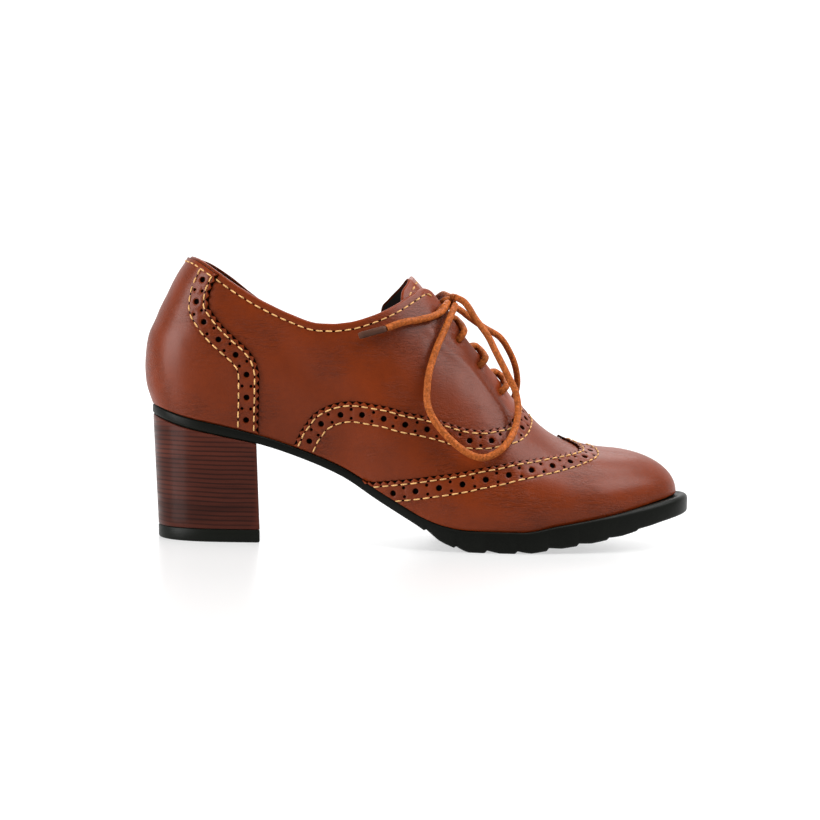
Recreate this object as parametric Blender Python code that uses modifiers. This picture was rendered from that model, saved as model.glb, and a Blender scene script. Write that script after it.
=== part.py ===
"""A right women's heeled oxford with wing tip trim, a block heel and round laces.

Metres, +X to the toe, -Y to the outer (lateral) side, +Z up. The origin is on the floor under the
middle of the heel. Every piece takes its shape from one surface, the outside of the upper on its last,
which the functions below work out from the named sizes and the table of sections.
"""
import math
from collections import namedtuple

import bmesh
import bpy
import numpy as np
from mathutils import Vector
from mathutils.geometry import delaunay_2d_cdt

MM = 0.001

# Last and upper
LAST_LENGTH = 0.2302
LAST_BACK = -0.0261
BALL_WIDTH = 0.0800
INSTEP_DEPTH = 0.1050
SEAT_RISE = 0.0546
TOE_SPRING = 0.0156
TREAD_THICKNESS = 0.0090
TOE_SWING = 0.0065
HEEL_ROUND = 0.0270
TOE_ROUND = 0.0400
HEEL_SET_IN = 0.0131
TOE_SET_BACK = 0.0290
HEEL_ROUNDNESS = 2.2
TOE_ROUNDNESS = 2.3
HEEL_REACH = 0.40
TOE_REACH = 0.40
WALL_LEVEL = 0.25
SHOULDER_LEVEL = 0.72

# Walls, overlays and clearances
SEAM = 0.0003
LAP_GAP = 0.0004
UPPER_WALL = 0.0018
OVERLAY_WALL = 0.0008
TONGUE_WALL = 0.0018
INSOLE_WALL = 0.0020
INSOLE_CLEARANCE = 0.0005
LAP_LEVEL = 0.045
COLLAR_ROWS = 12
FLAT_FROM = 0.80
FLATNESS = 0.55
FLAT_TO = (0.63, 0.70)

# Sole and heel
WELT_MARGIN = 0.0040
SOLE_BEAD = 0.0008
SOLE_EDGE_ROUND = 0.0010
LUG_COUNT = 8
LUG_DEPTH = 0.0011
LUGS_START = 0.523
LUGS_END = 0.909
LUG_STEP_SHARE = 0.07
LUG_SLOPE_SHARE = 0.50
PLAIN_MARGIN = 0.008
HEEL_BREAST = 0.205
BREAST_RAKE = 0.0018
BREAST_TURN = 0.0050
LIFT_HEIGHT = 0.0058
LIFT_ROUND = 0.0008
HEEL_TAPER = 0.0032
HEEL_TOP_INSET = 0.0003
HEEL_DROPS = (0.00, 0.35, 0.70, 1.00)
LIFT_DROP = 1.06
STOP_GAP = 0.01
BREAST_SHARE_POWER = 3

# Laces
LACE_DIAMETER = 0.0030
EYELET_DIAMETER = 0.0036
EYELET_SIDES = 8
KNOT_DIAMETER = 0.0054
AGLET_DIAMETER = 0.0030
OVER_FACING = 0.10
DIVE_LEVEL = 0.92
CLIMB_SHARES = (0.00, 0.18, 0.40)
CORD_STEP = 2.2 * LACE_DIAMETER
KNOT_STEP = 0.8 * LACE_DIAMETER
CROSSING_STEP = 1.6 * LACE_DIAMETER
KNOT_SWELL = 0.25

Section = namedtuple(
    "Section",
    "along swing sole_out sole_in wall_out wall_in shoulder crown depth arch spring tread",
)
# One row per section from the back of the heel to the toe. along is a share of LAST_LENGTH, swing of
# TOE_SWING, the next six half widths of half BALL_WIDTH, depth of INSTEP_DEPTH, arch of SEAT_RISE,
# spring of TOE_SPRING and tread of TREAD_THICKNESS.
SECTIONS = (
    Section(0.000, 0.000, 0.650, 0.650, 0.775, 0.775, 0.725, 0.500, 0.888, 1.000, 0.000, 0.467),
    Section(0.068, 0.000, 0.662, 0.650, 0.800, 0.787, 0.725, 0.500, 0.924, 0.908, 0.000, 0.489),
    Section(0.133, 0.000, 0.675, 0.650, 0.825, 0.800, 0.775, 0.575, 0.943, 0.850, 0.000, 0.489),
    Section(0.207, 0.000, 0.650, 0.600, 0.825, 0.800, 0.825, 0.625, 0.978, 0.788, 0.000, 0.422),
    Section(0.285, -0.077, 0.625, 0.537, 0.850, 0.812, 0.850, 0.650, 1.017, 0.687, 0.000, 0.411),
    Section(0.364, -0.154, 0.637, 0.500, 0.900, 0.825, 0.825, 0.600, 1.048, 0.551, 0.000, 0.444),
    Section(0.437, -0.154, 0.725, 0.550, 0.963, 0.875, 0.775, 0.500, 1.043, 0.364, 0.000, 0.511),
    Section(0.503, -0.077, 0.838, 0.675, 1.025, 0.938, 0.713, 0.350, 0.998, 0.205, 0.000, 0.511),
    Section(0.568, 0.000, 0.938, 0.812, 1.075, 1.012, 0.675, 0.300, 0.876, 0.048, 0.000, 0.822),
    Section(0.605, 0.040, 0.975, 0.870, 1.105, 1.055, 0.695, 0.300, 0.780, 0.000, 0.000, 1.000),
    Section(0.633, 0.077, 1.000, 0.925, 1.137, 1.100, 0.725, 0.300, 0.701, 0.000, 0.000, 1.000),
    Section(0.698, 0.154, 1.012, 0.988, 1.150, 1.163, 0.900, 0.350, 0.498, 0.000, 0.000, 1.000),
    Section(0.763, 0.308, 0.963, 0.988, 1.080, 1.130, 1.000, 0.450, 0.341, 0.000, 0.128, 1.078),
    Section(0.828, 0.492, 0.875, 0.925, 0.960, 1.030, 0.925, 0.475, 0.263, 0.000, 0.282, 1.111),
    Section(0.894, 0.692, 0.762, 0.812, 0.815, 0.870, 0.800, 0.425, 0.217, 0.000, 0.513, 1.089),
    Section(0.946, 0.846, 0.675, 0.700, 0.705, 0.735, 0.700, 0.375, 0.185, 0.000, 0.769, 0.978),
    Section(1.000, 1.000, 0.600, 0.625, 0.615, 0.645, 0.625, 0.350, 0.154, 0.000, 1.000, 0.911),
)

Turn = namedtuple("Turn", "level set_in")
# Profile of the heel's back: how far each level is set in from the feather edge, in HEEL_SET_IN
HEEL_CURVE = (
    Turn(0.000, 0.000),
    Turn(0.100, -0.240),
    Turn(0.155, -0.275),
    Turn(0.207, -0.250),
    Turn(0.257, -0.175),
    Turn(0.305, 0.020),
    Turn(0.357, 0.210),
    Turn(0.402, 0.410),
    Turn(0.449, 0.600),
    Turn(0.492, 0.800),
    Turn(0.530, 1.000),
    Turn(1.000, 2.600),
)
TOE_CURVE_POWER = 2.3

Margin = namedtuple("Margin", "along welt")
# How far the sole stands out from the feather edge, in WELT_MARGIN
WELT = (
    Margin(0.000, 0.30),
    Margin(0.207, 0.30),
    Margin(0.364, 0.30),
    Margin(0.437, 0.40),
    Margin(0.503, 0.60),
    Margin(0.568, 0.80),
    Margin(0.633, 0.95),
    Margin(0.763, 1.05),
    Margin(0.894, 1.25),
    Margin(1.000, 1.90),
)

Edge = namedtuple("Edge", "along level")
# Edges drawn on the surface: along is a share of LAST_LENGTH, level runs from 0 at the feather edge to
# 1 on the ridge of the instep
TOPLINE = (
    Edge(0.000, 0.553),
    Edge(0.030, 0.545),
    Edge(0.094, 0.506),
    Edge(0.156, 0.459),
    Edge(0.209, 0.424),
    Edge(0.258, 0.404),
    Edge(0.303, 0.396),
    Edge(0.340, 0.408),
    Edge(0.372, 0.434),
    Edge(0.415, 0.496),
    Edge(0.459, 0.586),
    Edge(0.492, 0.695),
    Edge(0.504, 0.750),
    Edge(0.516, 0.805),
    Edge(0.528, 0.838),
    Edge(0.545, 0.842),
    Edge(0.589, 0.820),
    Edge(0.631, 0.825),
    Edge(0.660, 0.860),
    Edge(0.677, 0.897),
    Edge(0.698, 0.945),
    Edge(0.708, 1.000),
)
# How much lower the topline runs on the inner side
INNER_DROP = (
    Edge(0.000, 0.000),
    Edge(0.120, 0.000),
    Edge(0.200, 0.018),
    Edge(0.430, 0.018),
    Edge(0.504, 0.000),
    Edge(1.000, 0.000),
)
COUNTER_EDGE = (
    Edge(0.103, 0.500),
    Edge(0.097, 0.436),
    Edge(0.100, 0.398),
    Edge(0.116, 0.368),
    Edge(0.140, 0.333),
    Edge(0.162, 0.308),
    Edge(0.187, 0.281),
    Edge(0.206, 0.246),
    Edge(0.213, 0.198),
    Edge(0.213, 0.143),
    Edge(0.209, LAP_LEVEL),
)
VAMP_EDGE = (
    Edge(0.283, LAP_LEVEL),
    Edge(0.287, 0.065),
    Edge(0.298, 0.100),
    Edge(0.310, 0.135),
    Edge(0.326, 0.163),
    Edge(0.342, 0.185),
    Edge(0.366, 0.211),
    Edge(0.388, 0.231),
    Edge(0.422, 0.256),
    Edge(0.451, 0.276),
    Edge(0.479, 0.293),
    Edge(0.508, 0.318),
    Edge(0.554, 0.358),
    Edge(0.584, 0.380),
    Edge(0.627, 0.431),
    Edge(0.655, 0.500),
    Edge(0.671, 0.556),
    Edge(0.687, 0.672),
    Edge(0.698, 0.845),
    Edge(0.700, 1.000),
)
WING_EDGE = (
    Edge(0.444, LAP_LEVEL),
    Edge(0.494, 0.110),
    Edge(0.534, 0.163),
    Edge(0.575, 0.212),
    Edge(0.599, 0.241),
    Edge(0.651, 0.316),
    Edge(0.697, 0.425),
    Edge(0.748, 0.554),
    Edge(0.780, 0.635),
    Edge(0.810, 0.710),
    Edge(0.837, 0.797),
    Edge(0.842, 0.870),
    Edge(0.833, 0.945),
    Edge(0.808, 1.000),
)
# The tongue's edge on the outer side, narrower at its top, and on the inner side
TONGUE_OUTER = (
    Edge(0.497, 1.000),
    Edge(0.497, 0.900),
    Edge(0.496, 0.847),
    Edge(0.491, 0.772),
    Edge(0.480, 0.684),
    Edge(0.479, 0.640),
    Edge(0.488, 0.600),
    Edge(0.515, 0.588),
    Edge(0.560, 0.615),
    Edge(0.620, 0.680),
    Edge(0.680, 0.790),
    Edge(0.725, 0.900),
    Edge(0.735, 1.000),
)
TONGUE_INNER = (
    Edge(0.497, 1.000),
    Edge(0.496, 0.869),
    Edge(0.487, 0.789),
    Edge(0.475, 0.714),
    Edge(0.449, 0.609),
    Edge(0.437, 0.567),
    Edge(0.434, 0.520),
    Edge(0.450, 0.495),
    Edge(0.500, 0.540),
    Edge(0.560, 0.610),
    Edge(0.620, 0.680),
    Edge(0.680, 0.790),
    Edge(0.725, 0.900),
    Edge(0.735, 1.000),
)
EYELETS = (
    Edge(0.664, 0.762),
    Edge(0.622, 0.752),
    Edge(0.580, 0.748),
    Edge(0.539, 0.748),
)

# Where the surface is sampled: turns round the heel and toe, and shares along the sides
HEEL_TURNS = 5
TOE_TURNS = 7
SIDE_STEPS = 20
LEVELS = (0.0, 0.06, 0.13, 0.20, 0.28, 0.36, 0.44, 0.52, 0.60, 0.68, 0.76, 0.83, 0.89, 0.95, 1.0)
TRACE_STEPS = 480
LEVEL_SPAN = 0.085
GRID_MARGIN = 0.0013
EDGE_SPACING = 0.0052
PROBE = 0.0008
ROUTE_STEPS = 12

# Routes of the free laces, in millimetres
NEAR_LOOP = (
    (105.4, -5.4, 104.8),
    (105.2, -9.6, 104.2),
    (103.6, -15.6, 100.4),
    (101.3, -20.0, 94.8),
    (97.7, -26.0, 86.3),
    (94.8, -31.2, 76.8),
    (93.8, -34.2, 69.6),
    (94.0, -37.0, 62.3),
    (96.9, -38.6, 55.6),
    (102.0, -39.8, 49.4),
    (107.7, -40.6, 44.4),
    (113.6, -41.4, 41.0),
    (118.8, -41.4, 40.3),
    (124.4, -39.6, 42.8),
    (129.1, -35.6, 47.5),
    (132.1, -29.6, 53.5),
    (133.3, -23.6, 60.9),
    (131.9, -21.0, 68.4),
    (129.0, -19.8, 74.1),
    (126.1, -18.4, 79.7),
    (123.0, -16.6, 85.6),
    (120.2, -14.2, 91.2),
    (117.1, -11.4, 95.6),
    (114.1, -9.6, 99.6),
    (111.8, -8.6, 103.4),
    (109.2, -7.4, 106.6),
    (105.8, -5.8, 108.3),
)
FAR_LOOP = (
    (105.4, 5.0, 104.6),
    (108.6, 6.8, 102.8),
    (113.0, 9.6, 99.6),
    (119.6, 12.9, 95.4),
    (127.0, 16.4, 91.1),
    (132.3, 20.0, 83.2),
    (135.0, 23.4, 75.9),
    (135.6, 27.0, 68.6),
    (133.2, 31.4, 60.6),
    (128.4, 35.6, 54.4),
    (121.0, 38.4, 50.4),
    (112.6, 39.4, 50.2),
    (105.0, 38.8, 54.0),
    (99.4, 36.8, 61.0),
    (96.4, 33.8, 70.0),
    (95.6, 30.4, 79.4),
    (96.4, 26.2, 88.8),
    (98.2, 20.8, 97.4),
    (100.0, 14.8, 103.8),
    (101.6, 9.8, 106.2),
    (102.0, 5.6, 106.2),
)
NEAR_END = (
    (102.2, -5.2, 105.6),
    (101.8, -9.4, 105.5),
    (99.8, -14.8, 102.0),
    (95.4, -20.0, 99.5),
    (91.6, -23.2, 98.4),
    (88.2, -25.6, 97.5),
    (85.9, -27.8, 97.2),
    (81.9, -30.0, 96.2),
    (78.7, -31.6, 95.0),
    (75.9, -32.8, 93.8),
)
NEAR_TIP = (
    (75.6, -33.0, 93.6),
    (69.8, -34.3, 91.9),
    (64.3, -35.0, 90.2),
)
FAR_END = (
    (101.6, 4.8, 109.5),
    (100.2, 9.0, 110.0),
    (97.6, 14.2, 108.2),
    (93.8, 19.6, 105.0),
    (88.6, 24.2, 102.0),
    (83.0, 27.8, 98.0),
    (77.4, 30.4, 94.6),
    (72.6, 31.8, 92.2),
)
FAR_TIP = (
    (72.2, 31.9, 92.0),
    (66.6, 32.8, 89.6),
    (61.0, 33.2, 87.8),
)
KNOT = (
    (103.0, -3.2, 105.4),
    (103.0, -1.0, 105.6),
    (103.0, 1.0, 105.6),
    (103.0, 3.0, 105.4),
)


def through(rows, column):
    """A smooth curve, with no overshoot, through one column of a table, read against its first."""
    at = np.array([row[0] for row in rows], float)
    value = np.array([getattr(row, column) for row in rows], float)
    step = np.diff(at)
    slope = np.diff(value) / step
    tangent = np.concatenate([slope[:1], np.zeros(len(slope) - 1), slope[-1:]])
    for i in range(1, len(slope)):
        if slope[i - 1] * slope[i] > 0:
            before = 2 * step[i] + step[i - 1]
            after = step[i] + 2 * step[i - 1]
            tangent[i] = (before + after) / (before / slope[i - 1] + after / slope[i])

    def read(where):
        where = np.asarray(where, float)
        i = np.clip(np.searchsorted(at, where) - 1, 0, len(step) - 1)
        t = np.clip((where - at[i]) / step[i], 0, 1)
        start = (2 * t**3 - 3 * t**2 + 1) * value[i] + (t**3 - 2 * t**2 + t) * step[i] * tangent[i]
        end = (3 * t**2 - 2 * t**3) * value[i + 1] + (t**3 - t**2) * step[i] * tangent[i + 1]
        return start + end

    return read


SECTION = {name: through(SECTIONS, name) for name in Section._fields[1:]}
heel_set_in = through(HEEL_CURVE, "set_in")
welt_share = through(WELT, "welt")


def blend(level, *controls):
    """The quartic curve that the five controls of a section draw, from feather edge to ridge."""
    rest = 1 - level
    weights = (rest**4, 4 * rest**3 * level, 6 * rest**2 * level**2, 4 * rest * level**3, level**4)
    return sum(weight * control for weight, control in zip(weights, controls))


RISE = (0, WALL_LEVEL, SHOULDER_LEVEL, 1, 1)


def end_rounding(along):
    """How much of its full width the outline has at a share along, round the heel and the toe."""
    from_heel = np.clip(along * LAST_LENGTH / HEEL_ROUND, 0, 1)
    from_toe = np.clip((1 - along) * LAST_LENGTH / TOE_ROUND, 0, 1)
    heel = (1 - (1 - from_heel) ** HEEL_ROUNDNESS) ** (1 / HEEL_ROUNDNESS)
    toe = (1 - (1 - from_toe) ** TOE_ROUNDNESS) ** (1 / TOE_ROUNDNESS)
    return heel * toe


def underside(along):
    """Height of the sole's lower face above the floor."""
    return SEAT_RISE * SECTION["arch"](along) + TOE_SPRING * SECTION["spring"](along)


def sole_top(along):
    return underside(along) + TREAD_THICKNESS * SECTION["tread"](along)


def last_point(along, level, side):
    """A point of the upper's outside; side is -1 on the outer side and 1 on the inner side."""
    along = np.clip(along, 0, 1)
    heel_share = np.clip(1 - along / HEEL_REACH, 0, 1) ** 2
    toe_share = np.clip((along - 1 + TOE_REACH) / TOE_REACH, 0, 1) ** 2
    shift = HEEL_SET_IN * heel_set_in(level) * heel_share
    shift = shift - TOE_SET_BACK * level**TOE_CURVE_POWER * toe_share
    here = np.clip(along + shift / LAST_LENGTH, 0, 1)
    sole = np.where(side < 0, SECTION["sole_out"](here), SECTION["sole_in"](here))
    wall = np.where(side < 0, SECTION["wall_out"](here), SECTION["wall_in"](here))
    width = blend(level, sole, wall, SECTION["shoulder"](here), SECTION["crown"](here), 0)
    rise = blend(level, *RISE)
    x = LAST_BACK + along * LAST_LENGTH + shift
    y = TOE_SWING * SECTION["swing"](here) + side * BALL_WIDTH / 2 * end_rounding(along) * width
    z = sole_top(here) + SEAM + INSTEP_DEPTH * SECTION["depth"](here) * rise
    return np.stack(np.broadcast_arrays(x, y, z), axis=-1)


def feather_trace():
    """Distance round the outline from the heel for shares along, close together at both ends."""
    turn = np.linspace(0, math.pi, TRACE_STEPS)
    along = (1 - np.cos(turn)) / 2
    middle = (last_point(along, 0.2, -1) + last_point(along, 0.2, 1) * (1, -1, 1)) / 2
    steps = np.linalg.norm(np.diff(middle[:, :2], axis=0), axis=1)
    return np.concatenate([[0], np.cumsum(steps)]), along


TRACE, TRACE_ALONG = feather_trace()
SIDE_LENGTH = TRACE[-1]


def around(along, side):
    """The distance round the outline: from the heel over the outer side to the toe, and back."""
    distance = np.interp(along, TRACE_ALONG, TRACE)
    return distance if side < 0 else 2 * SIDE_LENGTH - distance


def share_of(distance):
    """The share along at a distance round the outline."""
    distance = np.mod(np.asarray(distance, float), 2 * SIDE_LENGTH)
    return np.interp(np.minimum(distance, 2 * SIDE_LENGTH - distance), TRACE, TRACE_ALONG)


def surface(distance, level):
    """A point of the upper's outside at a distance round the outline and a level."""
    outer = np.mod(np.asarray(distance, float), 2 * SIDE_LENGTH) <= SIDE_LENGTH
    return last_point(share_of(distance), np.asarray(level, float), np.where(outer, -1, 1))


def normal(distance, level):
    """The outward normal of the upper's outside, upright across the ridge."""
    rise = 0.004
    level = np.asarray(level, float)
    on_ridge = level > 0.999
    level = np.minimum(level, 0.985)
    across = surface(np.asarray(distance) + PROBE, level) - surface(np.asarray(distance) - PROBE, level)
    up = surface(distance, level + rise) - surface(distance, np.maximum(level - rise, 0))
    out = np.cross(across, up)
    out[..., 1] = np.where(on_ridge, 0, out[..., 1])
    return out / np.linalg.norm(out, axis=-1, keepdims=True)


def lifted(distance, level, height):
    """A point at a height over the upper's outside."""
    return surface(distance, level) + height * normal(distance, level)


def sunk(distance, level, height):
    """A point over the surface as lifted gives it, but lying flat across between the facings."""
    along = share_of(distance)
    steep = blend(np.asarray(level, float), *RISE) - blend(FLAT_FROM, *RISE)
    fade = np.clip((FLAT_TO[1] - along) / (FLAT_TO[1] - FLAT_TO[0]), 0, 1)
    drop = FLATNESS * fade * INSTEP_DEPTH * SECTION["depth"](along) * np.maximum(steep, 0)
    return lifted(distance, level, height) - drop[..., None] * (0, 0, 1)


def shares_along():
    """Shares along the last, close together round the heel and the toe."""
    heel = HEEL_ROUND / LAST_LENGTH
    toe = TOE_ROUND / LAST_LENGTH
    heel_turns = [heel * (1 - math.cos(math.pi / 2 * i / HEEL_TURNS)) for i in range(HEEL_TURNS)]
    toe_turns = [1 - toe * (1 - math.cos(math.pi / 2 * i / TOE_TURNS)) for i in range(TOE_TURNS)]
    side = np.linspace(heel, 1 - toe, SIDE_STEPS + 1)
    return [*heel_turns, *side, *reversed(toe_turns)]


SHARES = shares_along()


def denser(edge):
    """An edge's rows with smooth points between them, about EDGE_SPACING apart on the surface."""
    rows = np.array(edge, float)
    spots = last_point(rows[:, 0], rows[:, 1], -1)
    run = np.concatenate([[0], np.cumsum(np.linalg.norm(np.diff(spots, axis=0), axis=1))])
    Row = namedtuple("Row", "run along level")
    table = [Row(*values) for values in zip(run, rows[:, 0], rows[:, 1])]
    count = max(2, round(run[-1] / EDGE_SPACING))
    at = np.linspace(0, run[-1], count + 1)
    return list(zip(through(table, "along")(at), through(table, "level")(at)))


def on_both_sides(edge):
    """The same edge on the outer side and, in reverse, on the inner side, as surface places."""
    outer = [(around(along, -1), level) for along, level in edge]
    inner = [(around(along, 1), level) for along, level in reversed(edge)]
    return outer, inner


def level_run(distance, first, last):
    """Places up or down one column between two levels, on the sampled levels."""
    inside = [level for level in LEVELS if min(first, last) + 0.02 < level < max(first, last) - 0.02]
    if last < first:
        inside = inside[::-1]
    return [(distance, level) for level in (first, *inside, last)]


def share_run(first, last, level):
    """Places along one level between two distances, on the sampled shares."""
    stops = [around(share, -1) for share in SHARES] + [around(share, 1) for share in SHARES]
    close = 0.0015
    inside = sorted({stop for stop in stops if first + close < stop < last - close})
    return [(distance, level) for distance in (first, *inside, last)]


def tidy_loop(places):
    """A boundary without its repeated places."""
    loop = []
    for place in places:
        if not loop or math.dist(flat(place), flat(loop[-1])) > 0.0002:
            loop.append(place)
    if math.dist(flat(loop[0]), flat(loop[-1])) <= 0.0002:
        loop.pop()
    return loop


def flat(place):
    """A surface place as a point of a nearly true-scale flat pattern."""
    return place[0], place[1] * LEVEL_SPAN


def inside_loop(points, loop):
    """Which points lie inside a closed loop, by counting the edges to their right."""
    found = np.zeros(len(points), bool)
    start = np.array(loop)
    end = np.roll(start, -1, axis=0)
    for (x0, y0), (x1, y1) in zip(start, end):
        if y0 == y1:
            continue
        crosses = (points[:, 1] < y0) != (points[:, 1] < y1)
        found ^= crosses & (points[:, 0] < (x1 - x0) * (points[:, 1] - y0) / (y1 - y0) + x0)
    return found


def from_loop(points, loop):
    """How far points are from a closed loop."""
    start = np.array(loop)
    run = np.roll(start, -1, axis=0) - start
    gap = points[:, None] - start[None]
    share = np.clip((gap * run).sum(2) / np.maximum((run**2).sum(1), 1e-12), 0, 1)
    return np.linalg.norm(gap - share[..., None] * run, axis=2).min(axis=1)


def pattern_mesh(name, boundary, holes, height, place=lifted):
    """A sheet at a height over the surface, cut to a boundary and its holes; place gives its points."""
    loops = [[flat(place) for place in tidy_loop(boundary)]]
    loops += [[flat(place) for place in hole] for hole in holes]
    columns = [around(share, -1) for share in SHARES]
    columns += [around(share, 1) for share in SHARES[1:-1]]
    columns += [column - 2 * SIDE_LENGTH for column in columns if column > SIDE_LENGTH]
    grid = np.array([(column, level * LEVEL_SPAN) for column in columns for level in LEVELS])
    keep = inside_loop(grid, loops[0])
    for loop in loops[1:]:
        keep &= ~inside_loop(grid, loop)
    for loop in loops:
        keep &= from_loop(grid, loop) > GRID_MARGIN
    points = [tuple(point) for point in grid[keep]]
    edges = []
    for loop in loops:
        first = len(points)
        points += loop
        edges += [(first + i, first + (i + 1) % len(loop)) for i in range(len(loop))]
    spots, _, faces, *_ = delaunay_2d_cdt([Vector(p) for p in points], edges, [], 0, 1e-7)
    spots = np.array([tuple(spot) for spot in spots])
    middles = np.array([spots[list(face)].mean(axis=0) for face in faces])
    wanted = inside_loop(middles, loops[0])
    for loop in loops[1:]:
        wanted &= ~inside_loop(middles, loop)
    placed = place(spots[:, 0], spots[:, 1] / LEVEL_SPAN, height)
    used = sorted({i for face, good in zip(faces, wanted) if good for i in face})
    renumber = {old: new for new, old in enumerate(used)}
    mesh = bpy.data.meshes.new(name)
    corners = [[renumber[i] for i in face] for face, good in zip(faces, wanted) if good]
    mesh.from_pydata([tuple(placed[i]) for i in used], [], corners)
    weld(mesh)
    return mesh


def weld(mesh):
    """Joins the points that meet on the ridge and at the back seam."""
    work = bmesh.new()
    work.from_mesh(mesh)
    bmesh.ops.remove_doubles(work, verts=work.verts, dist=0.00003)
    bmesh.ops.dissolve_degenerate(work, edges=work.edges, dist=0.00001)
    work.to_mesh(mesh)
    work.free()


def principled(name, color, roughness, metallic=0.0):
    material = bpy.data.materials.new(name)
    material.use_nodes = True
    shader = material.node_tree.nodes["Principled BSDF"]
    shader.inputs["Base Color"].default_value = (*color, 1)
    shader.inputs["Roughness"].default_value = roughness
    shader.inputs["Metallic"].default_value = metallic
    return material


class Shop:
    """The collections, the parent empty and the materials."""

    def __init__(self):
        self.parts = bpy.data.collections.new("heeled_oxford_shoe")
        bpy.context.scene.collection.children.link(self.parts)
        self.origin = bpy.data.objects.new("shoe_origin", None)
        self.parts.objects.link(self.origin)
        self.cutters = bpy.data.collections.new("cutters")
        bpy.context.scene.collection.children.link(self.cutters)
        self.leather = principled("tan leather", (0.200, 0.045, 0.018), 0.38)
        self.lining = principled("brown leather lining", (0.060, 0.022, 0.014), 0.70)
        self.rubber = principled("black rubber", (0.012, 0.013, 0.012), 0.55)
        self.stack = principled("dark stacked heel", (0.055, 0.022, 0.016), 0.45)
        self.lace = principled("waxed lace", (0.420, 0.130, 0.045), 0.50)
        self.tip = principled("lace tip", (0.050, 0.020, 0.012), 0.35)

    def add(self, name, data, material, smooth=True):
        item = bpy.data.objects.new(name, data)
        data.materials.clear()
        data.materials.append(material)
        self.parts.objects.link(item)
        item.parent = self.origin
        if smooth and isinstance(data, bpy.types.Mesh):
            data.shade_smooth()
            data.set_sharp_from_angle(angle=math.radians(40))
        return item


def solidify(item, thickness, outward):
    """Turns a sheet into a shell, towards or away from the foot."""
    wall = item.modifiers.new("wall", "SOLIDIFY")
    wall.thickness = thickness
    wall.offset = 1.0 if outward else -1.0
    wall.use_even_offset = True
    wall.use_quality_normals = True


def upper_boundary():
    """From the heel's back seam round the foot at the feather edge, and back over topline and facings."""
    topline = denser(TOPLINE)
    drop = through(INNER_DROP, "level")
    outer, _ = on_both_sides(topline)
    _, inner = on_both_sides([(along, level - drop(along)) for along, level in topline])
    throat = outer[-1][0]
    bottom = share_run(0.0, 2 * SIDE_LENGTH, 0.0)
    back_seam = level_run(2 * SIDE_LENGTH, 0.0, inner[-1][1])
    ridge = share_run(throat, 2 * SIDE_LENGTH - throat, 1.0)
    front_seam = level_run(0.0, outer[0][1], 0.0)
    return [*bottom, *back_seam, *reversed(inner), *reversed(ridge), *reversed(outer), *front_seam]


def eyelet_holes():
    """The punched holes of both facings, as loops on the surface."""
    holes = []
    for side in (-1, 1):
        for eyelet in EYELETS:
            centre = around(eyelet.along, side)
            spot = surface(centre, eyelet.level)
            run = np.linalg.norm(surface(centre + MM, eyelet.level) - spot) / MM
            rise = np.linalg.norm(surface(centre, eyelet.level + 0.01) - spot) / 0.01
            radius = EYELET_DIAMETER / 2
            turns = [2 * math.pi * i / EYELET_SIDES for i in range(EYELET_SIDES)]
            holes.append(
                [
                    (centre + radius / run * math.cos(t), eyelet.level + radius / rise * math.sin(t))
                    for t in turns
                ]
            )
    return holes


def make_upper(shop):
    mesh = pattern_mesh("upper", upper_boundary(), eyelet_holes(), 0.0)
    solidify(shop.add("upper", mesh, shop.leather), UPPER_WALL, outward=False)


def topline_levels():
    rows = [Edge(along, level) for along, level in TOPLINE[:COLLAR_ROWS]]
    return through(rows, "level")


def make_counter(shop):
    """The counter covers the back of the quarters up to the topline."""
    outer, inner = on_both_sides(denser(COUNTER_EDGE))
    top = topline_levels()
    stops = [share for share in SHARES if share < COUNTER_EDGE[0].along - STOP_GAP]
    rim_outer = [(around(share, -1), float(top(share))) for share in stops]
    rim_inner = [(-distance, level) for distance, level in rim_outer[1:]]
    stops_below = [share for share in SHARES if share < COUNTER_EDGE[-1].along - STOP_GAP]
    bottom = [(around(share, -1), LAP_LEVEL) for share in reversed(stops_below)]
    bottom += [(-around(share, -1), LAP_LEVEL) for share in stops_below[1:]]
    inner = [(distance - 2 * SIDE_LENGTH, level) for distance, level in inner]
    boundary = [*rim_outer, *outer, *bottom, *inner, *reversed(rim_inner)]
    mesh = pattern_mesh("counter_overlay", boundary, [], LAP_GAP)
    solidify(shop.add("counter_overlay", mesh, shop.leather), OVERLAY_WALL, outward=True)


def make_front_overlay(shop, name, edge, height):
    """A piece from the feather edge up to an edge that meets itself on the ridge, round the toe."""
    outer, inner = on_both_sides(denser(edge))
    peak = outer[-1][0]
    ridge = share_run(peak, 2 * SIDE_LENGTH - peak, 1.0)
    bottom = share_run(outer[0][0], inner[-1][0], LAP_LEVEL)
    boundary = [*outer, *ridge, *inner, *reversed(bottom)]
    mesh = pattern_mesh(name, boundary, [], height)
    solidify(shop.add(name, mesh, shop.leather), OVERLAY_WALL, outward=True)


def make_tongue(shop):
    """The tongue follows the inside of the upper under the facings and stands up past their top."""
    outer, _ = on_both_sides(denser(TONGUE_OUTER))
    _, inner = on_both_sides(denser(TONGUE_INNER))
    foot = outer[-1][0]
    top = outer[0][0]
    ridge = share_run(top, foot, 1.0)
    outer_half = [*reversed(outer), *ridge]
    ridge_back = [(2 * SIDE_LENGTH - distance, level) for distance, level in ridge]
    inner_half = [*reversed(inner), *ridge_back]
    work = bmesh.new()
    for half in (outer_half, inner_half):
        mesh = pattern_mesh("tongue", half, [], -UPPER_WALL - LAP_GAP, place=sunk)
        work.from_mesh(mesh)
        bpy.data.meshes.remove(mesh)
    mesh = bpy.data.meshes.new("tongue")
    work.to_mesh(mesh)
    work.free()
    weld(mesh)
    solidify(shop.add("tongue", mesh, shop.leather), TONGUE_WALL, outward=False)


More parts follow.
